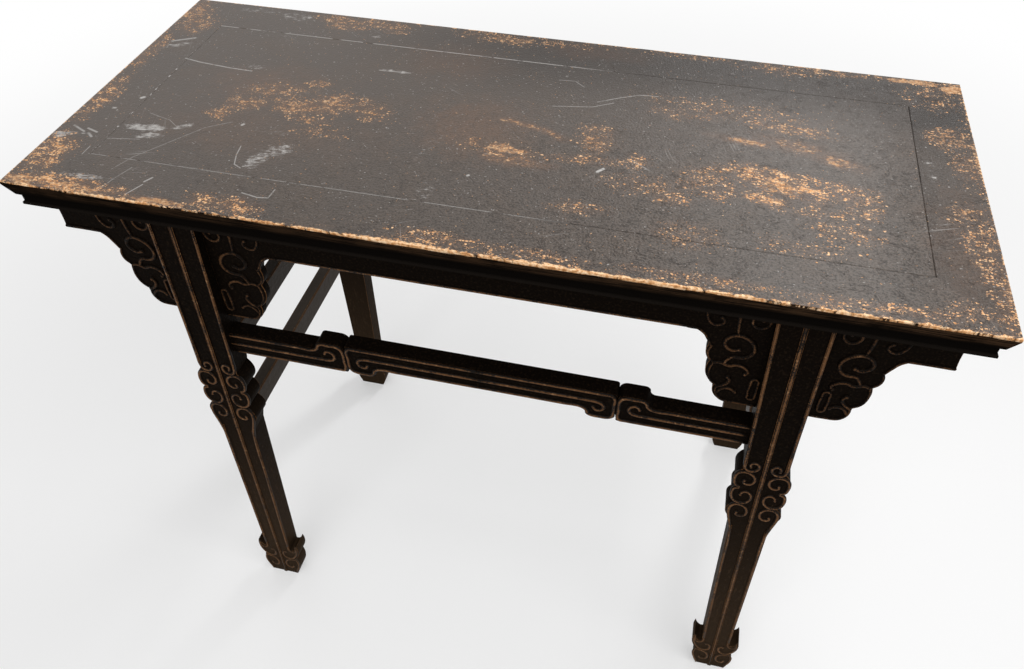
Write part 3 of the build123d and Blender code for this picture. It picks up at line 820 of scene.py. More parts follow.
        # Painted highlight: the bare arris is turned further towards its bright wood tone.
        shine = graph.times(arris, 0.05)
        wood = graph.effect(
            effects.wood, Place=place, Deep=self.deep, Wood=self.wood, Bright=self.bright, Shine=shine
        )
        graph.put(shader.inputs["Base Color"], graph.blend(worn, base, wood))
        rough = graph.scaled(worn, 0.25, self.rough)
        rough = graph.scaled(pale, 0.25, rough)
        graph.put(shader.inputs["Roughness"], graph.scaled(mottle, 0.06, rough))
        shader.inputs["Specular IOR Level"].default_value = self.gloss
        skin = graph.times(skin, graph.scaled(rough_part, 0.75, 0.25))
        graph.put(shader.inputs["Normal"], graph.bump(graph.scaled(wrinkle, 0.60, skin), self.bump_depth))
        return material

    def _marks(self, graph: Graph, effects: Effects, place: Socket, spots: "Spots") -> Socket:
        """Gathers every pale mark: scuffs, scratches, dots and dust in the seam.

        Args:
            graph: The material's nodes.
            effects: The shared node groups.
            place: The place on the top.
            spots: What places the ovals.

        Returns:
            Their mask.
        """
        dust = graph.effect(effects.scuff, Place=place, Amount=spots.highest(self.scuffs, 0.7))
        shifted = graph.vector("ADD", place, (3.0, 5.0, 0.0))
        dots = graph.effect(effects.flakes, Place=shifted, Amount=self.dot_share, Grain=self.dot_grain)
        lines: object = 0.0
        for scratch in self.scratches:
            for start, end in zip(scratch.points, scratch.points[1:]):
                lines = graph.effect(
                    effects.scratch,
                    Place=place,
                    From=(start[0] * MM, start[1] * MM, 0.0),
                    To=(end[0] * MM, end[1] * MM, 0.0),
                    Width=scratch.width * MM,
                    Strength=scratch.strength,
                    Beneath=lines,
                )
        broken = graph.step(graph.noise(place, 170.0, 3.0, 0.7), 0.30, 0.52)
        lines = graph.times(lines, graph.scaled(broken, 0.75, 0.25))
        marks = graph.highest(dust, graph.times(dots, 0.6), graph.times(lines, 1.1))
        marks = graph.highest(marks, self._seam(graph, place))
        hairs = self._hairs(graph, place)
        return graph.times(graph.highest(marks, hairs), 0.90)

    def _shade(self, graph: Graph, x: Socket, y: Socket) -> Socket:
        """Darkens the lacquer: painted shade towards the rear, and a darker right end rail.

        Args:
            graph: The material's nodes.
            x: How far right of the middle, in metres.
            y: How far behind the middle, in metres.

        Returns:
            How far it is darkened, from 0 to 1.
        """
        # Painted shade: the rear of the top, all but its left end, is darkened.
        rear = graph.times(graph.step(y, 0.02, 0.20), graph.step(x, -0.34, 0.04))
        half_length, half_depth, _ = HALF_SIZE
        # The right end rail is darker.
        past_seam = graph.less(x, half_length - self.rail)
        past_side = graph.less(graph.unsigned(y), half_depth - self.rail)
        on_rail = graph.math("GREATER_THAN", past_seam, graph.math("MAXIMUM", past_side, 0.0))
        shade = graph.scaled(on_rail, self.rail_darkening, graph.times(rear, self.rear_shade))
        return graph.math("MINIMUM", shade, self.deepest_shade)

    def _painted_sheen(self, graph: Graph, x: Socket, y: Socket) -> Socket:
        """Paints a sheen: pales the lacquer over the right part of the panel.

        Args:
            graph: The material's nodes.
            x: How far right of the middle, in metres.
            y: How far behind the middle, in metres.

        Returns:
            How far it is paled, from 0 to 1.
        """
        across = graph.times(graph.step(x, 0.12, 0.37), graph.fade(x, 0.40, 0.47))
        return graph.times(graph.times(across, graph.fade(y, 0.06, 0.20)), self.sheen_strength)

    def _rim(self, graph: Graph, place: Socket) -> Socket:
        """Flakes the rim of the top all round.

        Args:
            graph: The material's nodes.
            place: The place on the top.

        Returns:
            How much flaking there is, from 0 to 1.
        """
        x, y, _ = graph.parts(place)
        half_length, half_depth, _ = HALF_SIZE
        ends = graph.less(half_length, graph.unsigned(x))
        sides = graph.less(half_depth, graph.unsigned(y))
        distance = graph.math("MINIMUM", ends, sides)
        broken = graph.noise(place, 16.0, 3.0, 0.6)
        near = graph.times(graph.fade(distance, 0.001, 0.016), graph.step(broken, 0.42, 0.66))
        return graph.times(near, 0.55)

    def _seam(self, graph: Graph, place: Socket) -> Socket:
        """Lays pale dust in the seams round the panel, gone towards the right.

        Args:
            graph: The material's nodes.
            place: The place on the top.

        Returns:
            The mask of the dust.
        """
        x, y, _ = graph.parts(place)
        half_length, half_depth, _ = HALF_SIZE
        off_long = graph.less(graph.unsigned(y), half_depth - self.rail)
        off_end = graph.less(graph.unsigned(x), half_length - self.rail)
        broken = graph.step(graph.noise(place, 42.0, 4.0, 0.6), 0.36, 0.50)
        line = graph.times(graph.fade(graph.unsigned(off_long), 0.0003, 0.0011), broken)
        line = graph.times(line, graph.math("LESS_THAN", off_end, 0.0))
        line = graph.times(line, graph.fade(x, 0.02, 0.14))
        spots = graph.fade(graph.unsigned(off_end), 0.0007, 0.0016)
        spots = graph.times(spots, graph.fade(x, 0.0, 0.1))
        spots = graph.times(spots, graph.math("LESS_THAN", off_long, 0.0))
        spots = graph.times(spots, graph.step(graph.noise(place, 90.0, 3.0, 0.6), 0.58, 0.66))
        return graph.highest(graph.times(line, 0.85), spots)

    def _hairs(self, graph: Graph, place: Socket) -> Socket:
        """Draws hair-thin pale scratches in three directions, broken by noise.

        Args:
            graph: The material's nodes.
            place: The place on the top.

        Returns:
            Their mask.
        """
        result: object = 0.0
        for turn, spread, seed in ((35.0, 3.1, 0.0), (-20.0, 2.3, 4.7), (68.0, 2.7, 9.2)):
            shifted = graph.vector("ADD", place, (seed, seed * 0.5, 0.0))
            line = graph.noise(graph.stretch(shifted, turn, (spread, 120.0, 1.0)), 1.0, 1.0, 0.4)
            ridge = graph.unsigned(graph.less(line, 0.5))
            thin = graph.fade(ridge, 0.0, 0.0040)
            gaps = graph.step(graph.noise(shifted, 9.0, 2.0, 0.5), 0.58, 0.70)
            result = graph.math("MAXIMUM", result, graph.times(thin, gaps))
        return graph.times(result, 0.36)


class Spots:
    """Places ovals in one finish, all with the same ragged border."""

    def __init__(self, graph: Graph, effects: Effects, place: Socket, ragged: Socket) -> None:
        """Keeps what every oval of the finish needs.

        Args:
            graph: The material's nodes.
            effects: The shared node groups.
            place: The place on the top.
            ragged: The noise of the border, from -1 to 1.
        """
        self.graph = graph
        self.effects = effects
        self.place = place
        self.ragged = ragged

    def highest(self, ovals: tuple[Patch, ...], soft: float) -> Socket:
        """Returns the highest of some ovals.

        Args:
            ovals: The ovals.
            soft: How soft and ragged their borders are, from 0 to 1.

        Returns:
            The mask, each oval times its strength.
        """
        graph = self.graph
        result: object = 0.0
        for oval in ovals:
            result = graph.effect(
                self.effects.patch,
                Place=self.place,
                Centre=(oval.x * MM, oval.y * MM, 0.0),
                Reach=(oval.reach_x * MM, oval.reach_y * MM, 1.0),
                Turn=math.radians(-oval.turn),
                Ragged=self.ragged,
                Soft=soft,
                Strength=oval.strength,
                Beneath=result,
            )
        return result


@dataclass(frozen=True)
class MouldingLacquer:
    """Lacquer of the moulded edge: black with brown streaks, bare along the arris."""

    name: str = "moulding_lacquer_worn"
    black: Colour = (0.0045, 0.0036, 0.0030)
    brown: Colour = (0.052, 0.0295, 0.0165)
    deep: Colour = (0.30, 0.125, 0.046)
    wood: Colour = (0.66, 0.335, 0.140)
    bright: Colour = (1.0, 0.72, 0.46)
    # paler black of the lip, a painted highlight
    lip: Colour = (0.014, 0.011, 0.009)
    rough: float = 0.60
    bump_depth: float = 0.0008
    streaked: float = 1.05
    bared: float = 0.36
    rubbed: float = 0.55

    def build(self, effects: Effects) -> bpy.types.Material:
        """Makes the material.

        Args:
            effects: The shared node groups.

        Returns:
            The finished material.
        """
        material, graph, shader = new_material(self.name)
        place = graph.place()
        x, _, z = graph.parts(place)
        top = HEIGHT * MM
        streak = graph.effect(effects.streak, Place=place, Long=(18.0, 18.0, 420.0), Amount=self.streaked)
        cloud = graph.step(graph.noise(place, 34.0, 4.0, 0.6), 0.20, 0.58)
        rise = graph.step(z, top - 0.021, top - 0.012)
        along = graph.scaled(x, 0.65, 0.75)
        streak = graph.times(graph.times(streak, rise), graph.times(cloud, along))
        colour = graph.blend(streak, self.black, self.brown)
        bare = graph.effect(effects.streak, Place=place, Long=(30.0, 30.0, 700.0), Amount=self.bared)
        high = graph.step(z, top - 0.014, top - 0.004)
        colour = graph.blend(graph.times(bare, high), colour, self.deep)
        worn_edge = graph.effect(effects.crest, Place=place, Rubbed=graph.rubbed(), Amount=self.rubbed)
        colour = graph.blend(worn_edge, colour, self.deep)
        # Painted highlight: the lip at the foot of the moulding, and what lies below it, is made paler than
        # the black.
        lip = graph.fade(z, top - 0.0340, top - 0.0325)
        colour = graph.blend(graph.times(lip, 0.6), colour, self.lip)
        arris = graph.effect(effects.arris, Place=place, Half_Size=HALF_SIZE)
        # Shine paints a slight highlight on the bare arris.
        wood = graph.effect(
            effects.wood, Place=place, Deep=self.deep, Wood=self.wood, Bright=self.bright, Shine=0.01
        )
        graph.put(shader.inputs["Base Color"], graph.blend(arris, colour, wood))
        rough = graph.scaled(arris, 0.05, self.rough)
        graph.put(shader.inputs["Roughness"], graph.scaled(streak, 0.15, rough))
        shader.inputs["Specular IOR Level"].default_value = 0.0
        skin = graph.effect(effects.skin, Place=place, Peel=0.7, Wave=0.3)
        graph.put(shader.inputs["Normal"], graph.bump(skin, self.bump_depth))
        return material


@dataclass(frozen=True)
class BodyLacquer:
    """Near-black lacquer of the stand, rubbed to copper brown on ridges and edges."""

    name: str = "body_lacquer_worn"
    lacquer: Colour = (0.0044, 0.0029, 0.0020)
    thin: Colour = (0.062, 0.0385, 0.0220)
    copper: Colour = (0.135, 0.063, 0.0255)
    pale: Colour = (0.36, 0.200, 0.100)
    grain: tuple[float, float, float] = (300.0, 300.0, 60.0)
    worn: float = 0.95
    browning: float = 0.90
    gloss: float = 0.006
    rough: float = 0.42
    bump_depth: float = 0.0007

    def build(self, effects: Effects) -> bpy.types.Material:
        """Makes the material.

        Args:
            effects: The shared node groups.

        Returns:
            The finished material.
        """
        material, graph, shader = new_material(self.name)
        place = graph.place()
        low = graph.times(graph.fade(graph.parts(place)[2], 0.05, 0.62), self.browning)
        streak = graph.effect(effects.streak, Place=place, Long=self.grain, Amount=graph.plus(low, 0.20))
        speck = graph.step(graph.noise(place, 330.0, 3.0, 0.6), 0.50, 0.68)
        speck = graph.times(speck, graph.scaled(low, 0.62, 0.13))
        streak = graph.highest(graph.times(streak, 0.62), graph.times(low, 0.60), speck)
        base = graph.blend(streak, self.lacquer, self.thin)
        crest = graph.effect(effects.crest, Place=place, Rubbed=graph.rubbed(), Amount=self.worn)
        tone = graph.noise(place, 210.0, 3.0, 0.6)
        copper = graph.blend(graph.step(tone, 0.54, 0.76), self.copper, self.pale)
        graph.put(shader.inputs["Base Color"], graph.blend(crest, base, copper))
        rough = graph.scaled(crest, 0.12, self.rough)
        graph.put(shader.inputs["Roughness"], graph.scaled(streak, 0.14, rough))
        shader.inputs["Specular IOR Level"].default_value = self.gloss
        skin = graph.effect(effects.skin, Place=place, Peel=0.8, Wave=0.9)
        graph.put(shader.inputs["Normal"], graph.bump(skin, self.bump_depth))
        return material


def new_material(name: str) -> tuple[bpy.types.Material, Graph, bpy.types.Node]:
    """Starts a material.

    Args:
        name: The material's name.

    Returns:
        The material, its graph and its Principled shader.
    """
    material = bpy.data.materials.new(name)
    material.use_nodes = True
    return material, Graph(material.node_tree), material.node_tree.nodes["Principled BSDF"]


# ---------------------------------------------------------------- boards


@dataclass(frozen=True)
class SoftBoard:
    """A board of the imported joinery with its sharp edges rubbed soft.

    The rounding of its edges and arris and the weld are in millimetres, and the
    angles past which an edge is sharp, or a face flat, are in degrees.
    """

    node: str
    slot: str
    soften: float = 0.7
    sharp: float = 50.0
    worn: float = 1.0
    arris: float = 0.0
    arris_faces: int = 4
    edge_faces: int = 2
    weld: float = 0.02
    flat: float = 1.0

    def build(
        self, material: bpy.types.Material, edging: bpy.types.Material | None = None
    ) -> bpy.types.Object:
        """Makes the piece that stands for the node.

        Args:
            material: Its finish.
            edging: The finish of all that isn't its upper face, if that differs.

        Returns:
            The new object, which replaces the node.
        """
        shape = bmesh.new()
        shape.from_mesh(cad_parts[self.node].data)
        layer = shape.faces.layers.float.new(RUBBED)
        bmesh.ops.remove_doubles(shape, verts=shape.verts, dist=self.weld * MM)
        bmesh.ops.dissolve_limit(
            shape, angle_limit=math.radians(self.flat), use_dissolve_boundaries=False,
            verts=shape.verts, edges=shape.edges,
        )
        if self.arris:
            upper = [edge for edge in shape.edges if on_arris(edge)]
            self._soften(shape, upper, self.arris, self.arris_faces)
        limit = math.radians(self.sharp)
        convex = [edge for edge in shape.edges if edge.is_manifold and edge.is_convex]
        edges = [edge for edge in convex if edge.calc_face_angle(0.0) > limit and not in_joint(edge)]
        for face in self._soften(shape, edges, self.soften, self.edge_faces):
            face[layer] = self.worn
        if edging:
            for face in shape.faces:
                face.material_index = int(not on_upper_face(face))
        piece = finish_piece(shape, self.node + "_board", self.slot, material, (self.node,), smooth=False)
        if edging:
            piece.data.materials.append(edging)
        return piece

    def _soften(
        self, shape: bmesh.types.BMesh, edges: list[bmesh.types.BMEdge], offset: float, segments: int
    ) -> list[bmesh.types.BMFace]:
        """Rounds some edges over and returns the new faces.

        Args:
            shape: The board.
            edges: The edges to round.
            offset: How far the rounding reaches, in millimetres.
            segments: How many faces it is made of.

        Returns:
            The faces of the rounding.
        """
        made = bmesh.ops.bevel(
            shape, geom=edges, offset=offset * MM, offset_type="OFFSET", segments=segments,
            profile=0.5, affect="EDGES", clamp_overlap=True, material=-1,
        )
        return made["faces"]


def in_joint(edge: bmesh.types.BMEdge, near: float = 0.05 * MM) -> bool:
    """Says whether an edge lies in a closed joint.

    Args:
        edge: The edge of a board.
        near: How close to the joint it has to be, in metres.

    Returns:
        Whether it lies in a mitre of the top, or where an apron meets a spandrel board.
    """
    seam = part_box("front_right_spandrel")[0][0]
    places = [v.co for v in edge.verts]
    if all(abs(abs(p.x) - seam) < near for p in places):
        return True
    mitre = (HALF_LENGTH - HALF_DEPTH) * MM
    in_top = places[0].z > (HEIGHT - TOP_THICKNESS - 1.0) * MM
    return in_top and all(abs(abs(p.x) - abs(p.y) - mitre) < near for p in places)


def on_arris(edge: bmesh.types.BMEdge, near: float = 0.1 * MM) -> bool:
    """Says whether an edge is part of the upper arris round the top.

    Args:
        edge: The edge of a board.
        near: How close to the arris it has to be, in metres.

    Returns:
        Whether both its ends are level with the top and on the same outer side of it.
    """
    places = [v.co for v in edge.verts]
    level = all(p.z > HEIGHT * MM - near for p in places)
    at_end = all(abs(p.x) > HALF_LENGTH * MM - near for p in places)
    at_side = all(abs(p.y) > HALF_DEPTH * MM - near for p in places)
    return level and (at_end or at_side)


def on_upper_face(face: bmesh.types.BMFace, slant: float = 0.6, near: float = 1.0 * MM) -> bool:
    """Says whether a face belongs to the top's upper face and not to its moulding.

    Args:
        face: The face of a board.
        slant: The least upward part of its normal.
        near: How far below the top its middle may lie, in metres.

    Returns:
        Whether it faces up and lies at the top's height.
    """
    return face.normal.z >= slant and face.calc_center_median().z >= HEIGHT * MM - near


def finish_piece(
    shape: bmesh.types.BMesh,
    name: str,
    slot: str,
    material: bpy.types.Material,
    stands_for: tuple[str, ...] = (),
    smooth: bool = True,
) -> bpy.types.Object:
    """Turns a finished shape into a piece of the table.

    Args:
        shape: The shape in the row frame, in metres. It is freed.
        name: The piece's name.
        slot: The record's material slot; not used.
        material: Its finish.
        stands_for: CAD nodes that it replaces.
        smooth: Whether its faces are shaded smooth.

    Returns:
        The new object.
    """
    for face in shape.faces:
        face.smooth = smooth
    mesh = bpy.data.meshes.new(name)
    shape.to_mesh(mesh)
    shape.free()
    mesh.materials.append(material)
    piece = bpy.data.objects.new(name, mesh)
    bpy.context.scene.collection.objects.link(piece)
    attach(piece, BODY)
    if stands_for:
        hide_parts(*stands_for)
    log.info("%s: %d faces", name, len(mesh.polygons))
    return piece


# ---------------------------------------------------------------- carving


@dataclass(frozen=True)
class Ridge:
    """One raised line of carving: points along and up the face, widths in millimetres."""

    points: tuple[Point, ...]
    width: float = 4.2
    start: float = 1.0
    end: float = 0.72
    bud: float = 0.0
    belly: float = 0.12


@dataclass
class Relief:
    """Carving on one face, gathered as ridges and made into one piece.

    A ridge of the usual width stands proud of the face by that many millimetres.
    """

    proud: float = 2.0
    seed: int = 1
    steps: int = 5
    rounding: int = 2
    rubbed_from: float = 0.45
    unevenness: float = 0.05
    weld: float = 0.01
    bud_sides: int = 10
    bud_rings: int = 6
    ridges: list[Ridge] = field(default_factory=list)

    def add(self, *ridges: Ridge) -> None:
        """Adds ridges to the carving."""
        self.ridges.extend(ridges)

    def shape(self, place: Matrix) -> bmesh.types.BMesh:
        """Sweeps every ridge and lays the carving on its face.

        Args:
            place: From along, up and out of the face, in millimetres, to the row frame.

        Returns:
            The carving, with the rubbed height of each point.
        """
        dice = random.Random(self.seed)
        curve = bpy.data.curves.new("carving_path", "CURVE")
        curve.dimensions = "3D"
        curve.resolution_u = self.steps
        curve.bevel_depth = 1.0
        curve.bevel_resolution = self.rounding
        curve.use_fill_caps = True
        for ridge in self.ridges:
            self._path(curve, ridge, dice)
        carrier = bpy.data.objects.new("carving_path", curve)
        bpy.context.scene.collection.objects.link(carrier)
        bpy.context.view_layer.update()
        mesh = bpy.data.meshes.new_from_object(carrier)
        shape = bmesh.new()
        shape.from_mesh(mesh)
        bpy.data.objects.remove(carrier)
        bpy.data.meshes.remove(mesh)
        bpy.data.curves.remove(curve)
        for ridge in self.ridges:
            self._bud(shape, ridge)
        bmesh.ops.remove_doubles(shape, verts=shape.verts, dist=self.weld)
        layer = shape.verts.layers.float.new(RUBBED)
        shape.normal_update()
        lift = self.proud / (Ridge.width / 2)
        for vert in shape.verts:
            vert.co.z *= lift
            vert[layer] = max(0.0, (vert.normal.z - self.rubbed_from) / (1.0 - self.rubbed_from))
        bmesh.ops.transform(shape, matrix=place, verts=shape.verts)
        bmesh.ops.recalc_face_normals(shape, faces=shape.faces)
        return shape

    def _path(self, curve: bpy.types.Curve, ridge: Ridge, dice: random.Random) -> None:
        """Adds one ridge's line to the curve, its width changing from start to end.

        Args:
            curve: The curve that is swept.
            ridge: The ridge.
            dice: Makes its width a little uneven.
        """
        spline = curve.splines.new("BEZIER")
        last = len(ridge.points) - 1
        spline.bezier_points.add(last)
        for index, (along, up) in enumerate(ridge.points):
            share = index / last
            knot = spline.bezier_points[index]
            knot.co = (along, up, 0.0)
            knot.handle_left_type = "AUTO"
            knot.handle_right_type = "AUTO"
            swell = ridge.start + (ridge.end - ridge.start) * share
            swell += ridge.belly * math.sin(math.pi * share)
            uneven = dice.uniform(1.0 - self.unevenness, 1.0 + self.unevenness)
            knot.radius = 0.5 * ridge.width * swell * uneven

    def _bud(self, shape: bmesh.types.BMesh, ridge: Ridge) -> None:
        """Rounds off the ends of a ridge, with a swollen bud at the end if it has one.

        Args:
            shape: The carving.
            ridge: The ridge.
        """
        last = max(ridge.bud, ridge.width * ridge.end)
        for index, size in ((0, ridge.width * ridge.start), (-1, last)):
            along, up = ridge.points[index]
            bmesh.ops.create_uvsphere(
                shape, u_segments=self.bud_sides, v_segments=self.bud_rings, radius=size / 2,
                matrix=Matrix.Translation((along, up, 0.0)),
            )


def face_matrix(along: Vector, up: Vector, out: Vector, origin: Vector) -> Matrix:
    """Makes the map from a face's own millimetres to metres in the row frame.

    Args:
        along: The direction along the face.
        up: The direction up the face.
        out: The direction out of the face.
        origin: Where the face's own zero is, in millimetres.

    Returns:
        The map.
    """
    columns = Matrix((along, up, out)).transposed().to_4x4()
    columns.translation = origin
    return Matrix.Scale(MM, 4) @ columns


def upright_face(face: Face, ground: float, way: float = 1.0, centre: float = 0.0) -> Matrix:
    """Makes the map from the face of an upright board to the row frame.

    Args:
        face: The long side that the board faces.
        ground: How far its face is from the middle of the table, in millimetres.
        way: 1 where along the face means towards +X, -1 where it means towards -X.
        centre: Where along X the face's own zero is, in millimetres.

    Returns:
        The map.
    """
    along = Vector((way, 0.0, 0.0))
    out = Vector((0.0, face.value, 0.0))
    return face_matrix(along, Vector((0.0, 0.0, 1.0)), out, Vector((centre, face.value * ground, 0.0)))


# ---------------------------------------------------------------- sub-assemblies


@dataclass
class LegShape:
    """Sizes shared by the legs and by what is carved on them."""

    height: float = HEIGHT
    centre_top: float = 353.6
    splay_x: float = 35.2
    crest_foot: float = 245.3
    splay_y: float = 34.5
    bead_height: float = 1.5
    half_width_foot: float = 21.0
    half_width_gain: float = 9.0

    def edge(self, height: float, inset: float = 2.0) -> Point:
        """Returns a point inside the leg's edge at a height."""
        return self.half_width_foot + self.half_width_gain * height / self.height - inset, height

    def face(self, face: Face, end: End, half: Half) -> Matrix:
        """Makes the map from the ground of one leg face to the row frame.

        Args:
            face: The long side that the leg is on.
            end: The end that the leg is near.
            half: The half of the leg's face.

        Returns:
            The map.
        """
        slope = self.splay_y / self.height
        along = Vector((end.value * half.value, 0.0, 0.0))
        up = Vector((-end.value * self.splay_x / self.height, -face.value * slope, 1.0))
        out = Vector((0.0, face.value, slope)).normalized()
        ground = self.crest_foot - self.bead_height
        origin = Vector((end.value * (self.centre_top + self.splay_x), face.value * ground, 0.0))
        return face_matrix(along, up, out, origin)


@dataclass
class Top:
    """The framed top: two long rails, two end rails and the floating panel."""

    nodes: tuple[str, ...] = (
        "top_panel", "front_long_rail", "rear_long_rail", "left_end_rail", "right_end_rail",
    )

    def build(self, material: bpy.types.Material, edging: bpy.types.Material) -> None:
        """Makes the five boards of the top.

        Args:
            material: Finish of the upper face.
            edging: Finish of the moulding and the underside.
        """
        for node in self.nodes:
            SoftBoard(node, TOP_SLOT, soften=0.5, sharp=60.0, arris=1.0).build(material, edging)


@dataclass
class Boards:
    """The plain boards of the stand and the braces under the panel."""

    aprons: tuple[str, ...] = ("front_apron", "rear_apron", "left_end_board", "right_end_board")
    spandrels: tuple[str, ...] = tuple(f"{corner}_spandrel" for _, corner, _, _ in corners())
    stretchers: tuple[str, ...] = ("front_stretcher", "rear_stretcher")
    side_stretchers: tuple[str, ...] = tuple(
        f"{end}_{level}_side_stretcher" for end in ("left", "right") for level in ("upper", "lower")
    )
    legs: tuple[str, ...] = tuple(f"{corner}_leg" for _, corner, _, _ in corners())
    braces: tuple[str, ...] = tuple(f"transverse_brace_{number}" for number in (1, 2, 3))

    def build(self, body: bpy.types.Material, side: bpy.types.Material, brace: bpy.types.Material) -> None:
        """Makes every board of the stand.

        Args:
            body: Finish of the stand.
            side: Finish of the stretchers at the two ends, whose paler lacquer is a painted sheen.
            brace: Finish of the braces.
        """
        for node in self.aprons + self.spandrels + self.stretchers:
            SoftBoard(node, BODY_SLOT, soften=0.6).build(body)
        for node in self.side_stretchers:
            SoftBoard(node, BODY_SLOT, soften=0.6, sharp=40.0).build(side)
        for node in self.legs:
            SoftBoard(node, BODY_SLOT, soften=0.5, sharp=60.0, worn=0.9).build(body)
        for node in self.braces:
            SoftBoard(node, BRACE_SLOT, soften=0.8).build(brace)


@dataclass
class LegCarving:
    """Beads, half-way scrolls and foot scrolls on the outward face of each leg."""

    leg: LegShape
    top: float = 811.0
    bead: float = 4.4
    scroll: float = 5.4
    middle_bead: float = 5.0

    def _half(self) -> list[Ridge]:
        """Draws one half of the face.

        Returns:
            The ridges, in millimetres along and up the face.
        """
        edge = self.leg.edge
        upper_edge = Ridge(
            (edge(self.top), edge(700.0), edge(610.0), (25.6, 580.0), (25.0, 563.0), (22.0, 555.5),
             (16.6, 553.6), (10.8, 556.2), (7.8, 562.2), (9.2, 568.0), (14.0, 570.0), (18.2, 566.6),
             (17.6, 561.8)),
            self.bead, 1.0, 1.0, 5.2,
        )
        upper_scroll = Ridge(
            ((26.0, 518.6), (30.6, 521.4), (33.0, 528.5), (33.2, 537.0), (31.0, 545.0), (26.4, 549.2),
             (20.4, 549.8), (14.4, 547.4), (9.8, 541.6), (9.0, 534.0), (12.2, 527.4), (17.2, 525.4),
             (21.6, 528.0), (21.4, 532.6)),
            self.scroll, 0.8, 0.76, 5.4,
        )
        lower_scroll = Ridge(
            ((26.0, 515.8), (30.8, 513.6), (33.0, 506.6), (32.8, 498.0), (29.2, 489.0), (22.6, 484.6),
             (15.4, 485.2), (10.0, 490.8), (8.0, 499.4), (10.4, 506.8), (15.0, 509.6), (20.0, 507.2),
             (21.6, 502.2)),
            self.scroll, 0.8, 0.76, 5.4,
        )
        tail = Ridge(
            (edge(96.0), edge(200.0), edge(330.0), edge(415.0), (26.4, 436.0), (29.4, 450.0),
             (31.4, 463.0), (29.8, 474.0), (25.4, 479.2), (19.4, 480.2), (13.2, 477.4), (9.2, 471.0),
             (8.6, 463.4), (11.6, 457.2), (17.0, 455.2), (21.4, 457.8), (21.0, 462.4)),
            self.bead, 1.0, 1.0, 5.4,
        )
        gap = Ridge(
            (edge(98.0), (19.8, 88.0), (22.2, 80.0), (27.0, 77.2), (31.6, 80.0), (33.4, 88.0),
             (33.4, 96.0)),
            self.bead * 0.85, 1.0, 0.7,
        )
        foot_upper = Ridge(
            ((34.6, 90.0), (33.6, 76.0), (28.6, 63.0), (22.4, 55.6), (15.0, 54.4), (9.4, 58.8), (7.2, 66.4),
             (9.0, 74.0), (13.6, 75.4)),
            self.scroll, 0.7, 0.8, 5.0,
        )
        foot_lower = Ridge(
            ((28.4, 52.4), (22.6, 50.6), (15.4, 48.6), (9.4, 42.6), (7.2, 34.6), (8.6, 26.4), (13.4, 21.8),
             (18.6, 22.8), (20.4, 28.0)),
            self.scroll, 0.8, 0.8, 5.2,
        )
        toe = Ridge(
            ((28.6, 50.0), (31.0, 40.0), (29.6, 26.0), (25.6, 14.0), (22.6, 4.0)),
            self.bead, 0.7, 0.9,
        )
        return [upper_edge, upper_scroll, lower_scroll, tail, gap, foot_upper, foot_lower, toe]

    def build(self, material: bpy.types.Material) -> None:
        """Makes the carving of the four legs.

        Args:
            material: Its finish.
        """
        middle = Ridge(((0.0, self.top), (0.0, 560.0), (0.0, 300.0), (0.0, 4.0)), self.middle_bead)
        reach = self.leg.crest_foot * MM
        for number, corner, face, end in corners():
            shapes = []
            for half in Half:
                relief = Relief(proud=2.1, seed=10 * number + half.value)
                relief.add(*self._half())
                if half is Half.OUTER:
                    relief.add(middle)
                shapes.append(relief.shape(self.leg.face(face, end, half)))
            carving = joined(shapes)
            for vert in carving.verts:
                vert.co.y = max(-reach, min(reach, vert.co.y))
            finish_piece(carving, corner + "_leg_carving", BODY_SLOT, material)


def joined(shapes: list[bmesh.types.BMesh]) -> bmesh.types.BMesh:
    """Joins several shapes to one.

    Args:
        shapes: The shapes. They are freed.

    Returns:
        The joined shape.
    """
    result = bmesh.new()
    result.verts.layers.float.new(RUBBED)
    for shape in shapes:
        mesh = bpy.data.meshes.new("part")
        shape.to_mesh(mesh)
        shape.free()
        result.from_mesh(mesh)
        bpy.data.meshes.remove(mesh)
    return result


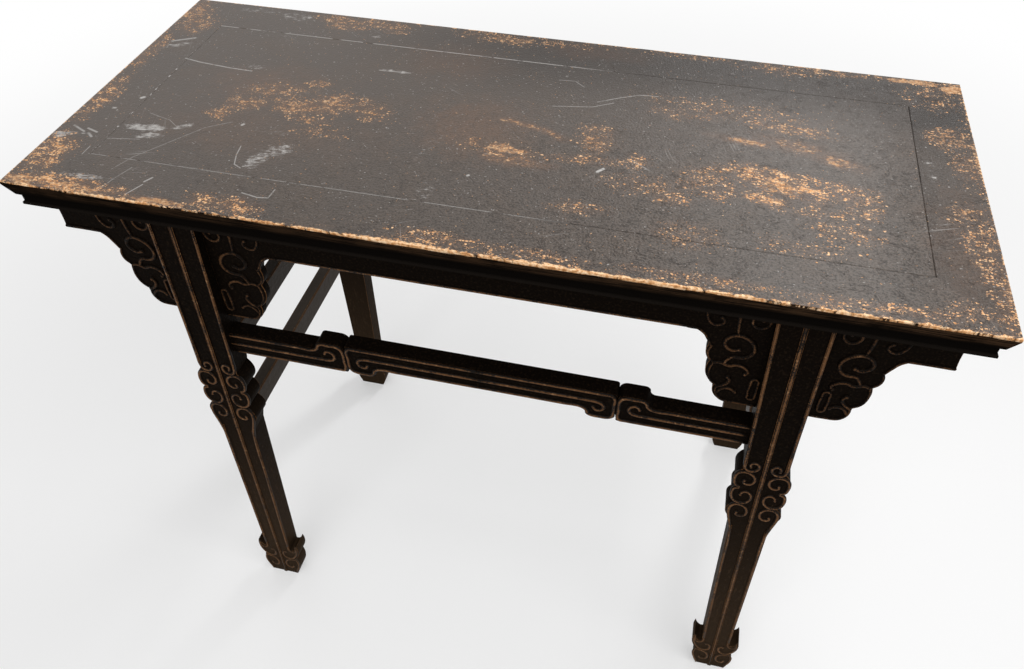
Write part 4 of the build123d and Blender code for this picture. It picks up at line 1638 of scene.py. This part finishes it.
@dataclass
class SpandrelCarving:
    """Cloud scrolls and the lobed edge bead of each spandrel board."""

    centre: float = 359.6
    ground: float = 200.0
    seam: float = 120.0
    end: float = 515.0
    bead: float = 4.0

    def _half(self, half: Half) -> list[Ridge]:
        """Draws one half of a board.

        Args:
            half: Which half, since the outer one runs on to the end of the table.

        Returns:
            The ridges, in millimetres along and up the face.
        """
        reach = self.end - self.centre - 2.0 if half is Half.OUTER else self.seam
        slot = 44.2 if half is Half.OUTER else 34.2
        edge = [
            Ridge(((reach, 766.4), (116.0, 766.4), (108.0, 766.0)), self.bead, 1.0, 0.9),
            Ridge(((108.0, 766.0), (101.6, 761.0), (96.6, 753.0), (91.8, 743.0)), self.bead, 0.9, 0.8),
            Ridge(((90.4, 742.4), (93.0, 732.6), (91.2, 724.0), (85.6, 717.4)), self.bead, 0.8, 0.8),
            Ridge(
                ((84.6, 716.0), (86.8, 706.0), (86.4, 694.8), (82.2, 684.6), (75.2, 678.8)),
                self.bead, 0.8, 0.8,
            ),
            Ridge(
                ((74.2, 677.2), (75.0, 668.6), (71.8, 660.4), (65.8, 654.8), (58.0, 653.2)),
                self.bead, 0.8, 0.9,
            ),
            Ridge(((58.0, 653.2), (42.0, 653.2), (26.0, 653.2)), self.bead, 0.9, 0.9),
        ]
        scrolls = [
            Ridge(((69.0, 810.0), (68.5, 792.0), (67.6, 778.0), (66.0, 767.0)), 5.2, 0.9, 0.8),
            Ridge(
                ((73.2, 718.6), (69.4, 726.6), (65.4, 730.4), (58.2, 730.6), (50.6, 733.2), (45.6, 740.0),
                 (45.0, 749.0), (49.0, 757.0), (56.0, 762.8), (63.6, 765.0), (71.0, 763.0), (76.2, 757.4),
                 (77.6, 750.0), (73.4, 743.4), (66.4, 740.8), (61.0, 743.6)),
                6.2, 0.8, 0.82, 7.0,
            ),
            Ridge(
                ((84.4, 716.4), (77.0, 718.2), (70.4, 715.8), (66.0, 715.4), (60.0, 718.2), (53.0, 717.2),
                 (47.2, 713.4), (44.8, 708.4), (47.4, 705.2)),
                6.0, 0.8, 0.8, 6.4,
            ),
            Ridge(
                ((74.4, 676.4), (68.6, 680.2), (64.0, 685.4), (62.4, 691.2), (65.2, 696.0)),
                5.8, 0.8, 0.85, 6.8,
            ),
            Ridge(
                ((72.4, 667.4), (69.4, 673.0), (64.0, 676.6), (58.0, 676.0), (53.0, 672.2)),
                5.8, 0.8, 0.8, 6.2,
            ),
            Ridge(
                ((37.0, 796.0), (37.0, 788.0), (41.4, 782.0), (48.0, 780.6), (53.6, 784.6), (55.2, 791.4),
                 (51.8, 797.2), (46.4, 797.4), (44.2, 792.6)),
                5.0, 0.8, 0.8, 5.6,
            ),
            Ridge(
                ((104.0, 804.0), (102.6, 791.0), (99.2, 781.0), (93.4, 776.0), (86.6, 777.4), (83.2, 783.0),
                 (86.4, 788.0)),
                5.0, 0.7, 0.8, 5.8,
            ),
        ]
        loop = Ridge(
            ((slot - 4.2, 690.0), (slot - 4.2, 672.0), (slot - 2.6, 664.6), (slot + 2.6, 664.6),
             (slot + 4.2, 672.0), (slot + 4.2, 690.0), (slot + 2.6, 698.0), (slot - 2.6, 698.0),
             (slot - 4.2, 690.0)),
            4.0, 1.0, 1.0,
        )
        return edge + scrolls + [loop]

    def build(self, material: bpy.types.Material) -> None:
        """Makes the carving of the four spandrels.

        Args:
            material: Its finish.
        """
        for number, corner, face, end in corners():
            shapes = []
            for half in Half:
                relief = Relief(proud=1.9, seed=100 + 10 * number + half.value)
                relief.add(*self._half(half))
                place = upright_face(face, self.ground, end.value * half.value, end.value * self.centre)
                shapes.append(relief.shape(place))
            finish_piece(joined(shapes), corner + "_spandrel_carving", BODY_SLOT, material)


@dataclass
class ApronBead:
    """The thin bead along the lower edge of each long apron."""

    reach: float = 241.0
    ground: float = 200.0
    height: float = 766.4
    bead: float = 3.4

    def build(self, material: bpy.types.Material) -> None:
        """Makes the bead on both sides of the table.

        Args:
            material: Its finish.
        """
        for face in Face:
            relief = Relief(proud=1.6, seed=300 + face.value)
            steps = [self.reach * (i / 4.0 - 1.0) for i in range(9)]
            relief.add(Ridge(tuple((x, self.height) for x in steps), self.bead, 1.0, 1.0))
            bead = relief.shape(upright_face(face, self.ground))
            finish_piece(bead, face.name.lower() + "_apron_bead", BODY_SLOT, material)


@dataclass
class StretcherCarving:
    """Beads and scrolls on the outward faces of the two long stretchers."""

    ground: float = 210.0
    top: float = 640.0
    bottom: float = 590.0
    band: float = 36.0
    groove: float = 175.0
    reach: float = 338.0
    inset: float = 3.1
    bead: float = 4.8

    def _half(self) -> list[Ridge]:
        """Draws what lies between the middle of the table and one end of the stretcher.

        Returns:
            The ridges, in millimetres along and up the face.
        """
        high = self.top - self.inset
        low = self.bottom + self.inset
        band_low = self.top - self.band + self.inset
        band_high = self.bottom + self.band - self.inset
        left = self.groove - self.inset
        right = self.groove + self.inset
        middle_rim = Ridge(
            ((0.0, high), (80.0, high), (160.0, high), (left - 3.4, high - 0.4), (left, high - 4.6),
             (left, 618.0), (left, 603.0), (left - 2.4, 596.2), (left - 8.4, low), (156.0, low),
             (146.0, low), (140.8, 595.6), (138.2, 602.6), (131.0, band_low), (110.0, band_low),
             (60.0, band_low), (0.0, band_low)),
            self.bead, 1.0, 1.0,
        )
        middle_bead = Ridge(
            ((0.0, 622.0), (75.0, 622.0), (140.0, 622.0), (150.0, 621.6), (157.4, 618.4), (159.6, 612.2),
             (156.0, 606.6), (149.6, 605.8), (146.4, 610.6)),
            self.bead * 1.15, 1.0, 0.85, 5.0,
        )
        side_rim = Ridge(
            ((self.reach, low), (260.0, low), (186.0, low), (right + 2.6, low + 0.4), (right, low + 4.4),
             (right, 612.0), (right, 627.0), (right + 2.4, 633.8), (right + 8.4, high), (196.0, high),
             (205.0, high), (209.8, 634.4), (212.4, 627.4), (219.0, band_high), (240.0, band_high),
             (290.0, band_high), (self.reach, band_high)),
            self.bead, 1.0, 1.0,
        )
        side_bead = Ridge(
            ((self.reach, 608.0), (270.0, 608.0), (210.0, 608.0), (199.0, 608.4), (192.4, 611.6),
             (190.4, 618.0), (194.0, 623.8), (200.4, 624.4), (203.4, 619.6)),
            self.bead * 1.15, 1.0, 0.85, 5.0,
        )
        return [middle_rim, middle_bead, side_rim, side_bead]

    def build(self, material: bpy.types.Material) -> None:
        """Makes the carving of both long stretchers.

        Args:
            material: Its finish.
        """
        for face in Face:
            shapes = []
            for end in End:
                relief = Relief(proud=1.8, seed=400 + 7 * face.value + end.value)
                relief.add(*self._half())
                shapes.append(relief.shape(upright_face(face, self.ground, end.value)))
            finish_piece(joined(shapes), face.name.lower() + "_stretcher_carving", BODY_SLOT, material)


# ---------------------------------------------------------------- studio


@dataclass(frozen=True)
class Lamp:
    """One soft rectangular lamp: its place, aim and size in metres, and its power in watts."""

    name: str
    place: Place
    aim: Place
    size: Point
    power: float

    def hang(self) -> None:
        """Adds the lamp to the scene."""
        data = bpy.data.lights.new(self.name, "AREA")
        data.shape = "RECTANGLE"
        data.size, data.size_y = self.size
        data.energy = self.power
        lamp = bpy.data.objects.new(self.name, data)
        bpy.context.scene.collection.objects.link(lamp)
        lamp.location = self.place
        lamp.rotation_euler = (Vector(self.aim) - Vector(self.place)).to_track_quat("-Z", "Y").to_euler()


@dataclass
class Studio:
    """Pale floor, soft lamps and the camera."""

    eye: Place = (0.2069, -0.8200, 1.4028)
    yaw: float = 0.2209
    pitch: float = -0.8252
    roll: float = 0.0030
    focal_px: float = 809.27
    centre_px: Point = (532.37, 332.25)
    frame_px: Point = (1024.0, 669.0)
    sensor: float = 36.0
    floor_size: float = 9.0
    floor_lit: Colour = (0.50, 0.49, 0.48)
    floor_seen: Colour = (0.98, 0.98, 0.98)
    glow: float = 0.35
    glow_from: float = 0.9
    glow_to: float = 2.6
    surround: float = 0.5
    lamps: tuple[Lamp, ...] = (
        Lamp("left_window", (-1.7, 1.5, 2.5), (0.0, 0.0, 0.8), (1.5, 1.5), 2.5),
        Lamp("right_window", (0.52, 1.45, 2.45), (0.3, 0.0, 0.8), (0.24, 1.0), 15.0),
        Lamp("ceiling", (1.0, -0.75, 2.25), (0.2, 0.0, 0.8), (1.4, 1.4), 11.0),
        Lamp("side_lamp", (0.66, -0.10, 1.60), (0.40, -0.08, 0.85), (0.5, 0.5), 3.0),
        Lamp("fill", (-0.5, -2.6, 2.1), (0.0, 0.0, 0.5), (1.8, 1.8), 22.0),
    )

    def build(self) -> None:
        """Sets up the whole studio."""
        scene = bpy.context.scene
        scene.view_settings.view_transform = "Standard"
        self._camera()
        self._floor()
        self._world()
        for lamp in self.lamps:
            lamp.hang()

    def _camera(self) -> None:
        """Places the camera."""
        data = bpy.data.cameras.new("camera")
        data.sensor_width = self.sensor
        data.lens = self.focal_px * self.sensor / self.frame_px[0]
        data.shift_x = (self.frame_px[0] / 2 - self.centre_px[0]) / self.frame_px[0]
        data.shift_y = (self.centre_px[1] - self.frame_px[1] / 2) / self.frame_px[0]
        data.clip_start = 0.05
        camera = bpy.data.objects.new("camera", data)
        bpy.context.scene.collection.objects.link(camera)
        forward = Vector((
            -math.sin(self.yaw) * math.cos(self.pitch),
            math.cos(self.yaw) * math.cos(self.pitch),
            math.sin(self.pitch),
        ))
        level = Vector((math.cos(self.yaw), math.sin(self.yaw), 0.0))
        above = level.cross(forward)
        right = math.cos(self.roll) * level + math.sin(self.roll) * above
        up = math.cos(self.roll) * above - math.sin(self.roll) * level
        turned = Matrix((right, up, -forward)).transposed().to_4x4()
        camera.matrix_world = Matrix.Translation(self.eye) @ turned
        bpy.context.scene.camera = camera

    def _floor(self) -> None:
        """Makes a pale floor that shows white and keeps the shadow."""
        shape = bmesh.new()
        bmesh.ops.create_grid(shape, x_segments=1, y_segments=1, size=self.floor_size)
        mesh = bpy.data.meshes.new("floor")
        shape.to_mesh(mesh)
        shape.free()
        floor = bpy.data.objects.new("floor", mesh)
        bpy.context.scene.collection.objects.link(floor)
        material, graph, shader = new_material("floor_white")
        seen = self._seen(graph)
        graph.put(shader.inputs["Base Color"], graph.blend(seen, self.floor_lit, self.floor_seen))
        shader.inputs["Roughness"].default_value = 1.0
        shader.inputs["Specular IOR Level"].default_value = 0.0
        away = graph.vector("LENGTH", graph.place(), out=1)
        bright = graph.node("Emission")
        mixed = graph.node("MixShader")
        far = graph.scaled(graph.step(away, self.glow_from, self.glow_to), 1.0 - self.glow, self.glow)
        graph.put(mixed.inputs[0], graph.times(far, seen))
        graph.put(mixed.inputs[1], shader.outputs[0])
        graph.put(mixed.inputs[2], bright.outputs[0])
        graph.put(material.node_tree.nodes["Material Output"].inputs["Surface"], mixed.outputs[0])
        mesh.materials.append(material)

    def _world(self) -> None:
        """Makes an even pale surround, white to the camera."""
        world = bpy.data.worlds.new("surround")
        world.use_nodes = True
        bpy.context.scene.world = world
        graph = Graph(world.node_tree)
        background = world.node_tree.nodes["Background"]
        background.inputs["Color"].default_value = (1.0, 1.0, 1.0, 1.0)
        seen = self._seen(graph)
        strength = graph.scaled(seen, 1.0 - self.surround, self.surround)
        graph.put(background.inputs["Strength"], strength)

    def _seen(self, graph: Graph) -> Socket:
        """Returns 1 where the surround is looked at, straight or in a gloss or glass."""
        rays = graph.node("LightPath").outputs
        return graph.highest(rays["Is Camera Ray"], rays["Is Glossy Ray"], rays["Is Transmission Ray"])


def main() -> None:
    """Builds the studio, the boards and the carving in order."""
    logging.basicConfig(level=logging.INFO, format="%(name)s: %(message)s")
    Studio().build()
    effects = Effects()
    top = TopLacquer().build(effects)
    body = BodyLacquer().build(effects)
    carved = BodyLacquer(name="carving_lacquer_worn", gloss=0.07).build(effects)
    # Painted shade: the spandrel carving gets a darker copper than the other carving.
    shaded = BodyLacquer(
        name="spandrel_lacquer_worn_painted_shade", copper=(0.078, 0.037, 0.016), pale=(0.19, 0.098, 0.047),
        worn=0.76, gloss=0.03,
    ).build(effects)
    # Painted sheen: the stretchers at the two ends get a much paler lacquer than the rest of the stand.
    side = BodyLacquer(
        name="side_stretcher_lacquer", lacquer=(0.042, 0.033, 0.026), thin=(0.110, 0.084, 0.062), gloss=0.05
    ).build(effects)
    brace = BodyLacquer(
        name="brace_wood_dark", lacquer=(0.018, 0.012, 0.009), thin=(0.05, 0.032, 0.02)
    ).build(effects)
    Top().build(top, MouldingLacquer().build(effects))
    Boards().build(body, side, brace)
    LegCarving(LegShape()).build(carved)
    SpandrelCarving().build(shaded)
    ApronBead().build(carved)
    StretcherCarving().build(carved)


if __name__ == "__main__":
    main()
